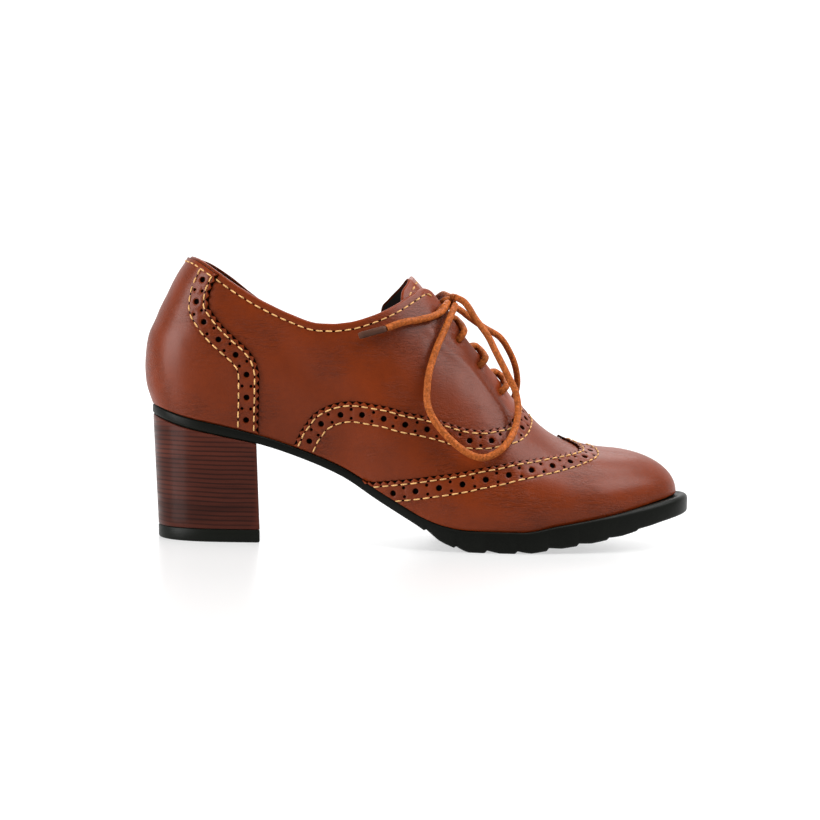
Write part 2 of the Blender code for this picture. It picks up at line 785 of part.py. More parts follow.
def outline_places(shares, margin):
    """Plan points of the feather edge, moved out by a margin, on the outer side and the inner side."""
    rows = []
    for side in (-1, 1):
        distance = np.array([around(share, side) for share in shares])
        across = surface(distance + PROBE, 0.0) - surface(distance - PROBE, 0.0)
        out = np.stack([across[:, 1], -across[:, 0]], axis=1)
        out /= np.linalg.norm(out, axis=1, keepdims=True)
        rows.append(surface(distance, 0.0)[:, :2] + out * np.asarray(margin)[:, None])
    return rows


def ring(shares, margin, height):
    """A closed ring round the sole: the outer side from heel to toe and the inner side back."""
    outer, inner = outline_places(shares, margin)
    height = np.broadcast_to(height, len(shares))
    points = [(*spot, z) for spot, z in zip(outer, height)]
    return points, [(*spot, z) for spot, z in zip(inner, height)]


def stack_of_rings(name, rings):
    """A closed solid through rings, whose first and last are filled straight across."""
    work = bmesh.new()
    made = []
    for outer, inner in rings:
        left = [work.verts.new(spot) for spot in outer]
        right = [work.verts.new(spot) for spot in inner]
        made.append((left, right))
    count = len(made[0][0])
    for (left, right), (next_left, next_right) in zip(made, made[1:]):
        for i in range(count - 1):
            work.faces.new((left[i], next_left[i], next_left[i + 1], left[i + 1]))
            work.faces.new((right[i], right[i + 1], next_right[i + 1], next_right[i]))
        work.faces.new((left[0], right[0], next_right[0], next_left[0]))
        work.faces.new((left[-1], next_left[-1], next_right[-1], right[-1]))
    for left, right in (made[0], made[-1]):
        for i in range(count - 1):
            work.faces.new((left[i], left[i + 1], right[i + 1], right[i]))
    bmesh.ops.remove_doubles(work, verts=work.verts, dist=0.00002)
    bmesh.ops.dissolve_degenerate(work, edges=work.edges, dist=0.00001)
    bmesh.ops.recalc_face_normals(work, faces=work.faces)
    mesh = bpy.data.meshes.new(name)
    work.to_mesh(mesh)
    work.free()
    return mesh


def lug_profile():
    """Shares along and groove depths of the tread: a step behind each lug and a slope back down."""
    pitch = (LUGS_END - LUGS_START) / (LUG_COUNT - 1)
    rows = []
    for i in range(LUG_COUNT):
        corner = LUGS_START + pitch * i
        rows += [(corner, 0.0), (corner + LUG_STEP_SHARE * pitch, LUG_DEPTH)]
        rows += [(corner + LUG_SLOPE_SHARE * pitch, 0.0)]
    return rows


def make_outsole(shop):
    lugs = lug_profile()
    first = lugs[0][0]
    last = lugs[-1][0]
    plain = [share for share in SHARES if not first - PLAIN_MARGIN < share < last + PLAIN_MARGIN]
    rows = sorted([*lugs, *[(share, 0.0) for share in plain]])
    shares = np.array([share for share, _ in rows])
    groove = np.array([depth for _, depth in rows])
    margin = WELT_MARGIN * welt_share(shares)
    top = sole_top(shares)
    bottom = underside(shares)
    mesh = stack_of_rings(
        "outsole",
        [
            ring(shares, margin - SOLE_BEAD, top),
            ring(shares, margin, top - SOLE_BEAD),
            ring(shares, margin, bottom + groove + SOLE_EDGE_ROUND),
            ring(shares, margin - SOLE_EDGE_ROUND, bottom + groove),
        ],
    )
    shop.add("outsole", mesh, shop.rubber)


def heel_shares(turn):
    """Shares along for one side of the heel, whose breast stands back on that side by a turn."""
    shares = np.array([share for share in SHARES if share < HEEL_BREAST - STOP_GAP] + [HEEL_BREAST])
    return shares - turn / LAST_LENGTH * (shares / HEEL_BREAST) ** BREAST_SHARE_POWER


def heel_ring(drop, inset, height):
    """A ring of the heel, drawn in as it goes down, with a flat breast that is turned inwards.

    height gives the level of the ring for an array of shares along.
    """
    sides = []
    for number, turn in enumerate((0.0, BREAST_TURN)):
        shares = heel_shares(turn)
        margin = WELT_MARGIN * welt_share(shares) - HEEL_TOP_INSET - inset - HEEL_TAPER * drop
        places = ring(shares, margin, height(shares))[number]
        forward = BREAST_RAKE * drop - inset
        breast = LAST_BACK + HEEL_BREAST * LAST_LENGTH + forward - turn
        places[-1] = (breast, places[-1][1], places[-1][2])
        sides.append(places)
    return sides


def heel_level(drop):
    """The level of the heel at a drop from 0 under the seat to 1 on the lift, for shares along."""

    def read(shares):
        seat = underside(shares) - SEAM
        return seat + (LIFT_HEIGHT - seat) * drop

    return read


def even_level(height):
    return lambda shares: np.full(len(shares), height)


def make_heel(shop):
    block = [heel_ring(drop, 0.0, heel_level(drop)) for drop in HEEL_DROPS]
    shop.add("heel_block", stack_of_rings("heel_block", block), shop.stack)
    lift = [
        heel_ring(1.0, 0.0, even_level(LIFT_HEIGHT - SEAM)),
        heel_ring(LIFT_DROP, 0.0, even_level(LIFT_ROUND)),
        heel_ring(LIFT_DROP, LIFT_ROUND, even_level(0.0)),
    ]
    shop.add("heel_lift", stack_of_rings("heel_lift", lift), shop.rubber)


def make_insole(shop):
    shares = np.array(SHARES)
    margin = np.full(len(shares), -UPPER_WALL - INSOLE_CLEARANCE)
    foot = sole_top(shares) + SEAM
    rings = [ring(shares, margin, foot), ring(shares, margin, foot + INSOLE_WALL)]
    shop.add("insole", stack_of_rings("insole", rings), shop.lining)


def smooth_route(route, spacing):
    """Points about spacing apart on a smooth curve through a route's own points."""
    spots = [Vector(spot) * MM for spot in route]
    ends = [2 * spots[0] - spots[1], *spots, 2 * spots[-1] - spots[-2]]
    fine = []
    for before, start, end, after in zip(ends, ends[1:], ends[2:], ends[3:]):
        for i in range(ROUTE_STEPS):
            t = i / ROUTE_STEPS
            fine.append(
                0.5
                * (
                    2 * start
                    + (end - before) * t
                    + (2 * before - 5 * start + 4 * end - after) * t**2
                    + (3 * start - before - 3 * end + after) * t**3
                )
            )
    fine.append(spots[-1])
    line = np.array([tuple(spot) for spot in fine])
    run = np.concatenate([[0], np.cumsum(np.linalg.norm(np.diff(line, axis=0), axis=1))])
    count = max(3, round(run[-1] / spacing))
    at = np.linspace(0, run[-1], count + 1)
    return np.stack([np.interp(at, run, line[:, k]) for k in range(3)], axis=1)


def tube(name, line, diameters):
    """A round cord along a line: a curve with a bevel and filled caps."""
    curve = bpy.data.curves.new(name, "CURVE")
    curve.dimensions = "3D"
    curve.bevel_depth = 0.5
    curve.bevel_resolution = 2
    curve.use_fill_caps = True
    spline = curve.splines.new("POLY")
    spline.points.add(len(line) - 1)
    diameters = np.broadcast_to(diameters, len(line))
    for point, spot, diameter in zip(spline.points, line, diameters):
        point.co = (*spot, 1)
        point.radius = diameter
    return curve


def make_cord(shop, name, route, diameter, material):
    line = smooth_route(route, CORD_STEP)
    shop.add(name, tube(name, line, diameter), material)


def make_knot(shop):
    line = smooth_route(KNOT, KNOT_STEP)
    swell = np.linspace(-1, 1, len(line))
    shop.add("lace_knot", tube("lace_knot", line, KNOT_DIAMETER * (1 - KNOT_SWELL * swell**2)), shop.lace)


def crossing_line(lower, upper, side):
    """The middle of a strand: up out of one eyelet, over its facing and down at the other facing."""
    radius = LACE_DIAMETER / 2
    climb = upper.along - lower.along
    over_level = lower.level + OVER_FACING
    near, middle, far = CLIMB_SHARES
    stops = (
        (around(lower.along, side), lower.level, radius + SEAM),
        (around(lower.along + near * climb, side), over_level, 1.6 * radius + SEAM),
        (around(lower.along + middle * climb, side), 1.0, 1.1 * radius),
        (around(lower.along + far * climb, -side), DIVE_LEVEL, 0.1 * radius),
    )
    return [sunk(*stop) for stop in stops]


def make_crossings(shop):
    """Each pair of crossed strands over the tongue, joined where they cross."""
    for number, (lower, upper) in enumerate(zip(EYELETS, EYELETS[1:]), start=1):
        name = f"lace_cross_{number}"
        strands = []
        for side in (-1, 1):
            route = [spot / MM for spot in crossing_line(lower, upper, side)]
            line = smooth_route(route, CROSSING_STEP)
            strand = bpy.data.objects.new(name, tube(name, line, LACE_DIAMETER))
            bpy.context.scene.collection.objects.link(strand)
            strands.append(strand)
        bpy.context.view_layer.update()
        meshes = [solid_of(strand) for strand in strands]
        item = shop.add(name, meshes[0], shop.lace, smooth=False)
        join(shop, item, meshes[1])


def solid_of(item):
    """A curve's mesh with its caps welded; the curve is removed."""
    seen = item.evaluated_get(bpy.context.evaluated_depsgraph_get())
    mesh = bpy.data.meshes.new_from_object(seen)
    work = bmesh.new()
    work.from_mesh(mesh)
    bmesh.ops.remove_doubles(work, verts=work.verts, dist=0.00001)
    bmesh.ops.recalc_face_normals(work, faces=work.faces)
    work.to_mesh(mesh)
    work.free()
    bpy.data.curves.remove(item.data)
    return mesh


def join(shop, item, mesh):
    """Unites a second closed mesh with an item."""
    other = bpy.data.objects.new(item.name + "_second", mesh)
    shop.cutters.objects.link(other)
    other.parent = shop.origin
    other.hide_render = True
    other.display_type = "WIRE"
    union = item.modifiers.new("join", "BOOLEAN")
    union.operation = "UNION"
    union.solver = "EXACT"
    union.object = other


def main():
    for item in list(bpy.data.objects):
        bpy.data.objects.remove(item)
    shop = Shop()
    make_outsole(shop)
    make_heel(shop)
    make_upper(shop)
    make_insole(shop)
    make_tongue(shop)
    make_counter(shop)
    make_front_overlay(shop, "vamp_overlay", VAMP_EDGE, LAP_GAP)
    make_front_overlay(shop, "wing_cap", WING_EDGE, 2 * LAP_GAP + OVERLAY_WALL)
    make_crossings(shop)
    make_knot(shop)
    make_cord(shop, "lace_loop_near", NEAR_LOOP, LACE_DIAMETER, shop.lace)
    make_cord(shop, "lace_loop_far", FAR_LOOP, LACE_DIAMETER, shop.lace)
    make_cord(shop, "lace_end_near", NEAR_END, LACE_DIAMETER, shop.lace)
    make_cord(shop, "lace_end_far", FAR_END, LACE_DIAMETER, shop.lace)
    make_cord(shop, "aglet_near", NEAR_TIP, AGLET_DIAMETER, shop.tip)
    make_cord(shop, "aglet_far", FAR_TIP, AGLET_DIAMETER, shop.tip)


main()
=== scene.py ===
"""The looks of a right women's heeled oxford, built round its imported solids.

Metres, +X to the toe, -Y to the outer (lateral) side, +Z up, with the origin on the floor under the heel.
Leather, seams, holes and laces lie on the same surface as the solids, worked out from the same sizes and
table of sections.
"""

import math
from collections import namedtuple

import bmesh
import bpy
import numpy as np
from bpy.props import FloatProperty, FloatVectorProperty, PointerProperty
from mathutils import Matrix, Vector, kdtree
from mathutils.geometry import delaunay_2d_cdt


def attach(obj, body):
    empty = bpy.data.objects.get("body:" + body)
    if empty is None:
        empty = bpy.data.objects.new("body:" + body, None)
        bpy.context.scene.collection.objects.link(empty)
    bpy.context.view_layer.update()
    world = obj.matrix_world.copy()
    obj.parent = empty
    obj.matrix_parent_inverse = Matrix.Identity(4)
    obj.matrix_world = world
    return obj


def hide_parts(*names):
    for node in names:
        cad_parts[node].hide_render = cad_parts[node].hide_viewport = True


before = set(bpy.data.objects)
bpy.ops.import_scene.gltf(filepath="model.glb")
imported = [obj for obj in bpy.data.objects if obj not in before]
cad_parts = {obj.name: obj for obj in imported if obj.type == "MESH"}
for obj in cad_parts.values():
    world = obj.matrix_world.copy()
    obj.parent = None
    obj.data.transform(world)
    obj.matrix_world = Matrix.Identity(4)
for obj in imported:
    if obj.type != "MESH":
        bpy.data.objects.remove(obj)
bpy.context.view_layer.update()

bl_info = {
    "name": "Heeled oxford shoe",
    "version": (1, 0, 0),
    "blender": (4, 5, 0),
    "location": "3D View > Sidebar > Shoe",
    "description": "Builds the leather, seams, sole and laces of a heeled oxford",
    "category": "Object",
}

MM = 0.001

# Last and upper
LAST_LENGTH = 0.2302
LAST_BACK = -0.0261
BALL_WIDTH = 0.0800
INSTEP_DEPTH = 0.1050
SEAT_RISE = 0.0546
TOE_SPRING = 0.0156
TREAD_THICKNESS = 0.0090
TOE_SWING = 0.0065
HEEL_ROUND = 0.0270
TOE_ROUND = 0.0400
HEEL_SET_IN = 0.0131
TOE_SET_BACK = 0.0290
HEEL_ROUNDNESS = 2.2
TOE_ROUNDNESS = 2.3
HEEL_REACH = 0.40
TOE_REACH = 0.40
WALL_LEVEL = 0.25
SHOULDER_LEVEL = 0.72
RISE = (0, WALL_LEVEL, SHOULDER_LEVEL, 1, 1)

# Walls, overlays and clearances
SEAM = 0.0003
LAP_GAP = 0.0004
UPPER_WALL = 0.0018
OVERLAY_WALL = 0.0008
TONGUE_WALL = 0.0018
INSOLE_WALL = 0.0020
INSOLE_CLEARANCE = 0.0005
LAP_LEVEL = 0.045
FLAT_FROM = 0.80
FLATNESS = 0.55
FLAT_TO = (0.63, 0.70)

# Sole and heel
WELT_MARGIN = 0.0040
SOLE_BEAD = 0.0008
TOE_BEAD = 1.4
# The rim's rounded bead, in SOLE_BEAD, and the tread's lower edge, in metres
BEAD_PROFILE = ((1.20, 0.0), (0.72, 0.06), (0.35, 0.26), (0.10, 0.60), (0.0, 1.10))
TREAD_PROFILE = ((0.0, 0.0013), (0.0002, 0.0006), (0.0009, 0.0))
LUG_COUNT = 8
LUG_FADE = (1.0, 1.0, 1.0, 1.0, 1.0, 0.9, 0.7, 0.5)
LUG_DEPTH = 0.0011
LUGS_START = 0.523
LUGS_END = 0.909
LUG_STEP_SHARE = 0.07
LUG_SLOPE_SHARE = 0.50
HEEL_BREAST = 0.205
BREAST_RAKE = 0.0018
BREAST_TURN = 0.0050
LIFT_HEIGHT = 0.0058
LIFT_ROUND = 0.0008
LIFT_DROP = 1.06
HEEL_LAYERS = 16
HEEL_TAPER = 0.0032
HEEL_TOP_INSET = 0.0003
BREAST_SHARE_POWER = 3

Section = namedtuple(
    "Section",
    "along swing sole_out sole_in wall_out wall_in shoulder crown depth arch spring tread",
)
# One row per section from the back of the heel to the toe. along is a share of LAST_LENGTH, swing of
# TOE_SWING, the next six half widths of half BALL_WIDTH, depth of INSTEP_DEPTH, arch of SEAT_RISE,
# spring of TOE_SPRING and tread of TREAD_THICKNESS.
SECTIONS = (
    Section(0.000, 0.000, 0.650, 0.650, 0.775, 0.775, 0.725, 0.500, 0.888, 1.000, 0.000, 0.467),
    Section(0.068, 0.000, 0.662, 0.650, 0.800, 0.787, 0.725, 0.500, 0.924, 0.908, 0.000, 0.489),
    Section(0.133, 0.000, 0.675, 0.650, 0.825, 0.800, 0.775, 0.575, 0.943, 0.850, 0.000, 0.489),
    Section(0.207, 0.000, 0.650, 0.600, 0.825, 0.800, 0.825, 0.625, 0.978, 0.788, 0.000, 0.422),
    Section(0.285, -0.077, 0.625, 0.537, 0.850, 0.812, 0.850, 0.650, 1.017, 0.687, 0.000, 0.411),
    Section(0.364, -0.154, 0.637, 0.500, 0.900, 0.825, 0.825, 0.600, 1.048, 0.551, 0.000, 0.444),
    Section(0.437, -0.154, 0.725, 0.550, 0.963, 0.875, 0.775, 0.500, 1.043, 0.364, 0.000, 0.511),
    Section(0.503, -0.077, 0.838, 0.675, 1.025, 0.938, 0.713, 0.350, 0.998, 0.205, 0.000, 0.511),
    Section(0.568, 0.000, 0.938, 0.812, 1.075, 1.012, 0.675, 0.300, 0.876, 0.048, 0.000, 0.822),
    Section(0.605, 0.040, 0.975, 0.870, 1.105, 1.055, 0.695, 0.300, 0.780, 0.000, 0.000, 1.000),
    Section(0.633, 0.077, 1.000, 0.925, 1.137, 1.100, 0.725, 0.300, 0.701, 0.000, 0.000, 1.000),
    Section(0.698, 0.154, 1.012, 0.988, 1.150, 1.163, 0.900, 0.350, 0.498, 0.000, 0.000, 1.000),
    Section(0.763, 0.308, 0.963, 0.988, 1.080, 1.130, 1.000, 0.450, 0.341, 0.000, 0.128, 1.078),
    Section(0.828, 0.492, 0.875, 0.925, 0.960, 1.030, 0.925, 0.475, 0.263, 0.000, 0.282, 1.111),
    Section(0.894, 0.692, 0.762, 0.812, 0.815, 0.870, 0.800, 0.425, 0.217, 0.000, 0.513, 1.089),
    Section(0.946, 0.846, 0.675, 0.700, 0.705, 0.735, 0.700, 0.375, 0.185, 0.000, 0.769, 0.978),
    Section(1.000, 1.000, 0.600, 0.625, 0.615, 0.645, 0.625, 0.350, 0.154, 0.000, 1.000, 0.911),
)

Turn = namedtuple("Turn", "level set_in")
# Profile of the heel's back: how far each level is set in from the feather edge, in HEEL_SET_IN
HEEL_CURVE = (
    Turn(0.000, 0.000), Turn(0.100, -0.240), Turn(0.155, -0.275), Turn(0.207, -0.250),
    Turn(0.257, -0.175), Turn(0.305, 0.020), Turn(0.357, 0.210), Turn(0.402, 0.410),
    Turn(0.449, 0.600), Turn(0.492, 0.800), Turn(0.530, 1.000), Turn(1.000, 2.600),
)
TOE_CURVE_POWER = 2.3

Margin = namedtuple("Margin", "along welt")
# How far the sole stands out from the feather edge, in WELT_MARGIN
WELT = (
    Margin(0.000, 0.30), Margin(0.207, 0.30), Margin(0.364, 0.30), Margin(0.437, 0.40),
    Margin(0.503, 0.60), Margin(0.568, 0.80), Margin(0.633, 0.95), Margin(0.763, 1.05),
    Margin(0.894, 1.25), Margin(1.000, 1.90),
)

Edge = namedtuple("Edge", "along level")
# Edges drawn on the surface: along is a share of LAST_LENGTH, level runs from 0 at the feather edge to
# 1 on the ridge of the instep
TOPLINE = (
    Edge(0.000, 0.553), Edge(0.030, 0.545), Edge(0.094, 0.506), Edge(0.156, 0.459),
    Edge(0.209, 0.424), Edge(0.258, 0.404), Edge(0.303, 0.396), Edge(0.340, 0.408),
    Edge(0.372, 0.434), Edge(0.415, 0.496), Edge(0.459, 0.586), Edge(0.492, 0.695),
    Edge(0.504, 0.750), Edge(0.516, 0.805), Edge(0.528, 0.838), Edge(0.545, 0.842),
    Edge(0.589, 0.820), Edge(0.631, 0.825), Edge(0.660, 0.860), Edge(0.677, 0.897),
    Edge(0.698, 0.945), Edge(0.708, 1.000),
)
# How much lower the topline runs on the inner side
INNER_DROP = (
    Edge(0.000, 0.000), Edge(0.120, 0.000), Edge(0.200, 0.018), Edge(0.430, 0.018),
    Edge(0.504, 0.000), Edge(1.000, 0.000),
)
COUNTER_EDGE = (
    Edge(0.103, 0.500), Edge(0.097, 0.436), Edge(0.100, 0.398), Edge(0.116, 0.368),
    Edge(0.140, 0.333), Edge(0.162, 0.308), Edge(0.187, 0.281), Edge(0.206, 0.246),
    Edge(0.213, 0.198), Edge(0.213, 0.143), Edge(0.209, LAP_LEVEL),
)
VAMP_EDGE = (
    Edge(0.283, LAP_LEVEL), Edge(0.287, 0.065), Edge(0.298, 0.100), Edge(0.310, 0.135),
    Edge(0.326, 0.163), Edge(0.342, 0.185), Edge(0.366, 0.211), Edge(0.388, 0.231),
    Edge(0.422, 0.256), Edge(0.451, 0.276), Edge(0.479, 0.293), Edge(0.508, 0.318),
    Edge(0.554, 0.358), Edge(0.584, 0.380), Edge(0.627, 0.431), Edge(0.655, 0.500),
    Edge(0.671, 0.556), Edge(0.687, 0.672), Edge(0.698, 0.845), Edge(0.700, 1.000),
)
WING_EDGE = (
    Edge(0.444, LAP_LEVEL), Edge(0.494, 0.110), Edge(0.534, 0.163), Edge(0.575, 0.212),
    Edge(0.599, 0.241), Edge(0.651, 0.316), Edge(0.697, 0.425), Edge(0.748, 0.554),
    Edge(0.780, 0.635), Edge(0.810, 0.710), Edge(0.837, 0.797), Edge(0.842, 0.870),
    Edge(0.833, 0.945), Edge(0.808, 1.000),
)
# The tongue's edge on the outer side, narrower at its top, and on the inner side
TONGUE_OUTER = (
    Edge(0.497, 1.000), Edge(0.497, 0.900), Edge(0.496, 0.847), Edge(0.491, 0.772),
    Edge(0.480, 0.684), Edge(0.479, 0.640), Edge(0.488, 0.600), Edge(0.515, 0.588),
    Edge(0.560, 0.615), Edge(0.620, 0.680), Edge(0.680, 0.790), Edge(0.725, 0.900),
    Edge(0.735, 1.000),
)
TONGUE_INNER = (
    Edge(0.497, 1.000), Edge(0.496, 0.869), Edge(0.487, 0.789), Edge(0.475, 0.714),
    Edge(0.449, 0.609), Edge(0.437, 0.567), Edge(0.434, 0.520), Edge(0.450, 0.495),
    Edge(0.500, 0.540), Edge(0.560, 0.610), Edge(0.620, 0.680), Edge(0.680, 0.790),
    Edge(0.725, 0.900), Edge(0.735, 1.000),
)
EYELETS = (
    Edge(0.664, 0.762), Edge(0.622, 0.752), Edge(0.580, 0.748), Edge(0.539, 0.748),
)

# Routes of the free laces, in millimetres
NEAR_LOOP = (
    (105.4, -5.4, 104.8), (105.2, -9.6, 104.2), (103.6, -15.6, 100.4), (101.3, -20.0, 94.8),
    (97.7, -26.0, 86.3), (94.8, -31.2, 76.8), (93.8, -34.2, 69.6), (94.0, -37.0, 62.3),
    (96.9, -38.6, 55.6), (102.0, -39.8, 49.4), (107.7, -40.6, 44.4), (113.6, -41.4, 41.0),
    (118.8, -41.4, 40.3), (124.4, -39.6, 42.8), (129.1, -35.6, 47.5), (132.1, -29.6, 53.5),
    (133.3, -23.6, 60.9), (131.9, -21.0, 68.4), (129.0, -19.8, 74.1), (126.1, -18.4, 79.7),
    (123.0, -16.6, 85.6), (120.2, -14.2, 91.2), (117.1, -11.4, 95.6), (114.1, -9.6, 99.6),
    (111.8, -8.6, 103.4), (109.2, -7.4, 106.6), (105.8, -5.8, 108.3),
)
FAR_LOOP = (
    (105.4, 5.0, 104.6), (108.6, 6.8, 102.8), (113.0, 9.6, 99.6), (119.6, 12.9, 95.4),
    (127.0, 16.4, 91.1), (132.3, 20.0, 83.2), (135.0, 23.4, 75.9), (135.6, 27.0, 68.6),
    (133.2, 31.4, 60.6), (128.4, 35.6, 54.4), (121.0, 38.4, 50.4), (112.6, 39.4, 50.2),
    (105.0, 38.8, 54.0), (99.4, 36.8, 61.0), (96.4, 33.8, 70.0), (95.6, 30.4, 79.4),
    (96.4, 26.2, 88.8), (98.2, 20.8, 97.4), (100.0, 14.8, 103.8), (101.6, 9.8, 106.2),
    (102.0, 5.6, 106.2),
)
NEAR_END = (
    (102.2, -5.2, 105.6), (101.8, -9.4, 105.5), (99.8, -14.8, 102.0), (95.4, -20.0, 99.5),
    (91.6, -23.2, 98.4), (88.2, -25.6, 97.5), (85.9, -27.8, 97.2), (81.9, -30.0, 96.2),
    (78.7, -31.6, 95.0), (75.9, -32.8, 93.8),
)
NEAR_TIP = (
    (75.6, -33.0, 93.6), (69.8, -34.3, 91.9), (64.3, -35.0, 90.2),
)
FAR_END = (
    (101.6, 4.8, 109.5), (100.2, 9.0, 110.0), (97.6, 14.2, 108.2), (93.8, 19.6, 105.0),
    (88.6, 24.2, 102.0), (83.0, 27.8, 98.0), (77.4, 30.4, 94.6), (72.6, 31.8, 92.2),
)
FAR_TIP = (
    (72.2, 31.9, 92.0), (66.6, 32.8, 89.6), (61.0, 33.2, 87.8),
)

# The knot: what comes out of the two top eyelets is wound round it, and the loops and ends go in
KNOT_WRAPS = (
    (
        (102.0, 2.6, 101.8), (99.8, 0.6, 102.0), (98.6, -1.8, 103.8), (99.2, -3.6, 105.6),
        (101.4, -4.6, 107.0), (103.8, -3.4, 107.6), (104.6, 0.6, 107.4), (102.6, 3.6, 106.4),
        (100.2, 3.2, 104.0),
    ),
    (
        (105.4, -5.4, 104.8), (104.2, -3.0, 105.0), (102.8, 0.0, 105.4), (102.2, 3.0, 105.9),
        (102.0, 5.6, 106.2),
    ),
    (
        (105.8, -5.8, 108.3), (104.4, -4.0, 108.6), (102.4, -1.0, 108.3), (101.0, 1.6, 107.0),
    ),
    (
        (102.2, -5.2, 105.6), (102.8, -3.6, 105.0), (104.0, 0.0, 104.4), (104.8, 3.0, 104.4),
        (105.4, 5.0, 104.6),
    ),
    (
        (101.6, 4.8, 109.5), (102.6, 2.4, 109.0), (103.8, -0.4, 107.8), (104.6, -2.6, 106.2),
    ),
)

# Laces and eyelets
LACE_DIAMETER = 0.0030
AGLET_DIAMETER = 0.0030
EYELET_DIAMETER = 0.0036
EYELET_WEAR = 0.0005
# Size of the dark disc of painted shade under each eyelet, against the eyelet's hole
EYELET_SHADE_SIZE = 1.5
EYELET_ROUND = 20
CORD_SIDES = 14
CORD_STEP = 0.0012
STRAND_STEP = 0.0006
WRAP_STEP = 0.0005

# Sampling of the surface, in metres or in levels
LEVEL_SPAN = 0.085
TRACE_STEPS = 480
TRACE_LEVEL = 0.2
PROBE = 0.0008
LEVEL_PROBE = 0.004
RIDGE_LEVEL = 0.999
STEEP_LEVEL = 0.985
LINE_STEP = 0.0005
EDGE_STEP = 0.0009
MARCH_STEP = 0.0010
FOLD_ROOM = 0.35 * MM
SAME_PLACE = 0.0002
GUIDE_ROOM = 0.30 * MM
LIP_ROOM = 0.25 * MM
RIM_ROOM = 0.55
ROW_ROOM = 0.45
TOE_JOIN = 0.0006
TOP_ROW = 15
STRIPS_ACROSS = 8

# Triangle size of each sheet, in metres and in levels
QUARTER_CELLS = (0.0016, 0.0135)
COUNTER_CELLS = (0.0016, 0.0150)
TONGUE_CELLS = (0.0016, 0.0150)
FRONT_CELLS = (0.0015, 0.0230)

# Trim
FIRST_ROW = 0.0020
BAND_WIDTH = 0.0068
TOPLINE_ROW = 0.0023
GIMP_PITCH = 0.0033
GIMP_DEPTH = 0.0014
BIG_HOLE = 0.0027
SMALL_HOLE = 0.0015
BIG_HOLE_SIDES = 14
SMALL_HOLE_SIDES = 10
SMALL_ASIDE = 0.0019
HOLE_PITCH = 0.0092
HOLE_LIP = 1.45
HOLE_LEVELS = (0.02, 0.975)
# Near-black strips of painted shade under the holes and the gimped edges: width, step, height over the sheet
# below, and asides from the edge
SHADE_STRIP_WIDTH = 0.0058
SHADE_STRIP_STEP = 0.0010
SHADE_STRIP_HEIGHT = 0.0002
EDGE_SHADE_STRIP = (0.0001, 0.0010, 0.0019)
OVERLAY_LOW = 0.00005
OVER_QUARTER = LAP_GAP + OVERLAY_WALL
OVER_VAMP = 2 * LAP_GAP + 2 * OVERLAY_WALL
VISIBLE_FOOT = 0.006
RIM_DROP = 0.004
COUNTER_START = Edge(0.110, 0.560)
COUNTER_INSET = 0.008
SEAM_STOP = 0.010
TONGUE_ROWS = 5

# Stitches
THREAD = 0.00060
THREAD_SIDES = 8
THREAD_RINGS = 9
THREAD_SPREAD = 1.05
THREAD_TAPER = 0.93
STITCH_PITCH = 0.0040
STITCH_LENGTH = 0.0028
STITCH_SINK = 0.00017
STITCH_ARCH = 0.00030
# Dark discs of painted shade at the needle holes: length, width and how far under the leather
NEEDLE_LENGTH = 0.00066
NEEDLE_WIDTH = 0.00036
NEEDLE_SINK = 0.00012
ROUNDING = 1e-6
GUIDE_FROM = 0.0008
GUIDE_TO = 0.0006
GUIDE_STEP = 0.0011
GUIDE_ASIDE = 0.00055

# Soft grooves and lips pressed into the leather: depth and half width
STITCH_DIP = (0.00022, 0.00060)
HOLE_DIP = (0.00016, 0.00035)
EDGE_DIP = (0.00012, 0.00060)
EYELET_DIP = (0.00030, 0.00060)

# Rim profiles, from the outer face to the inner: how far out, and how high in the wall
ROLLED = ((0.00060, 0.95), (0.00095, 0.72), (0.00105, 0.50), (0.00095, 0.25), (0.00060, 0.05))
CUT = ((0.00012, 0.93), (0.00018, 0.80), (0.00018, 0.0))
ROLLED_FACES = 4

# Edges of the overlays, carried on down to the sole
COUNTER_ROWS = (*COUNTER_EDGE[:-1], Edge(0.209, VISIBLE_FOOT))
VAMP_ROWS = (Edge(0.2745, VISIBLE_FOOT), *VAMP_EDGE)
WING_ROWS = (Edge(0.408, VISIBLE_FOOT), Edge(0.419, 0.013), *WING_EDGE)

Crease = namedtuple("Crease", "sides height width rows")
BOTH = (-1, 1)
# Soft creases and swells: the sides they are on, height out of the leather and half width
CREASES = (
    Crease(BOTH, 0.00045, 0.0026, (
        (0.524, 0.622), (0.554, 0.622), (0.601, 0.652), (0.641, 0.649), (0.674, 0.634),
    )),
    Crease(BOTH, -0.00050, 0.0060, ((0.240, 0.330), (0.300, 0.250), (0.350, 0.230))),
    Crease(BOTH, -0.00030, 0.0030, ((0.640, 0.230), (0.700, 0.360), (0.735, 0.500))),
    Crease(BOTH, 0.00025, 0.0028, ((0.665, 0.240), (0.715, 0.380), (0.750, 0.520))),
    Crease((-1,), -0.00035, 0.0040, ((0.150, 0.160), (0.170, 0.110), (0.200, 0.080))),
)

# Stage
FLOOR_GLOW = 0.55
WALL_GLOW = 1.0
WORLD_LIGHT = 0.22
CAMERA_PLACE = (0.0867, -0.760, 0.0863)
CAMERA_PITCH = math.radians(2.127)
CAMERA_ROLL = math.radians(1.3)
CAMERA_FOCUS = 1710.0
FRAME_SIZE = 820.0
SENSOR = 36.0
Light = namedtuple("Light", "name place aim power width height")
LIGHTS = (
    Light("light_top", (0.55, -0.12, 1.08), (0.14, 0.0, 0.05), 14.5, 1.20, 0.50),
    Light("light_front", (1.00, -0.25, 0.75), (0.14, 0.0, 0.05), 12.0, 0.70, 0.60),
    Light("light_back", (-0.88, -0.40, 0.36), (0.02, 0.0, 0.05), 14.0, 0.60, 0.66),
    Light("light_behind", (0.20, 1.00, 0.90), (0.09, 0.0, 0.05), 5.0, 0.9, 0.5),
)


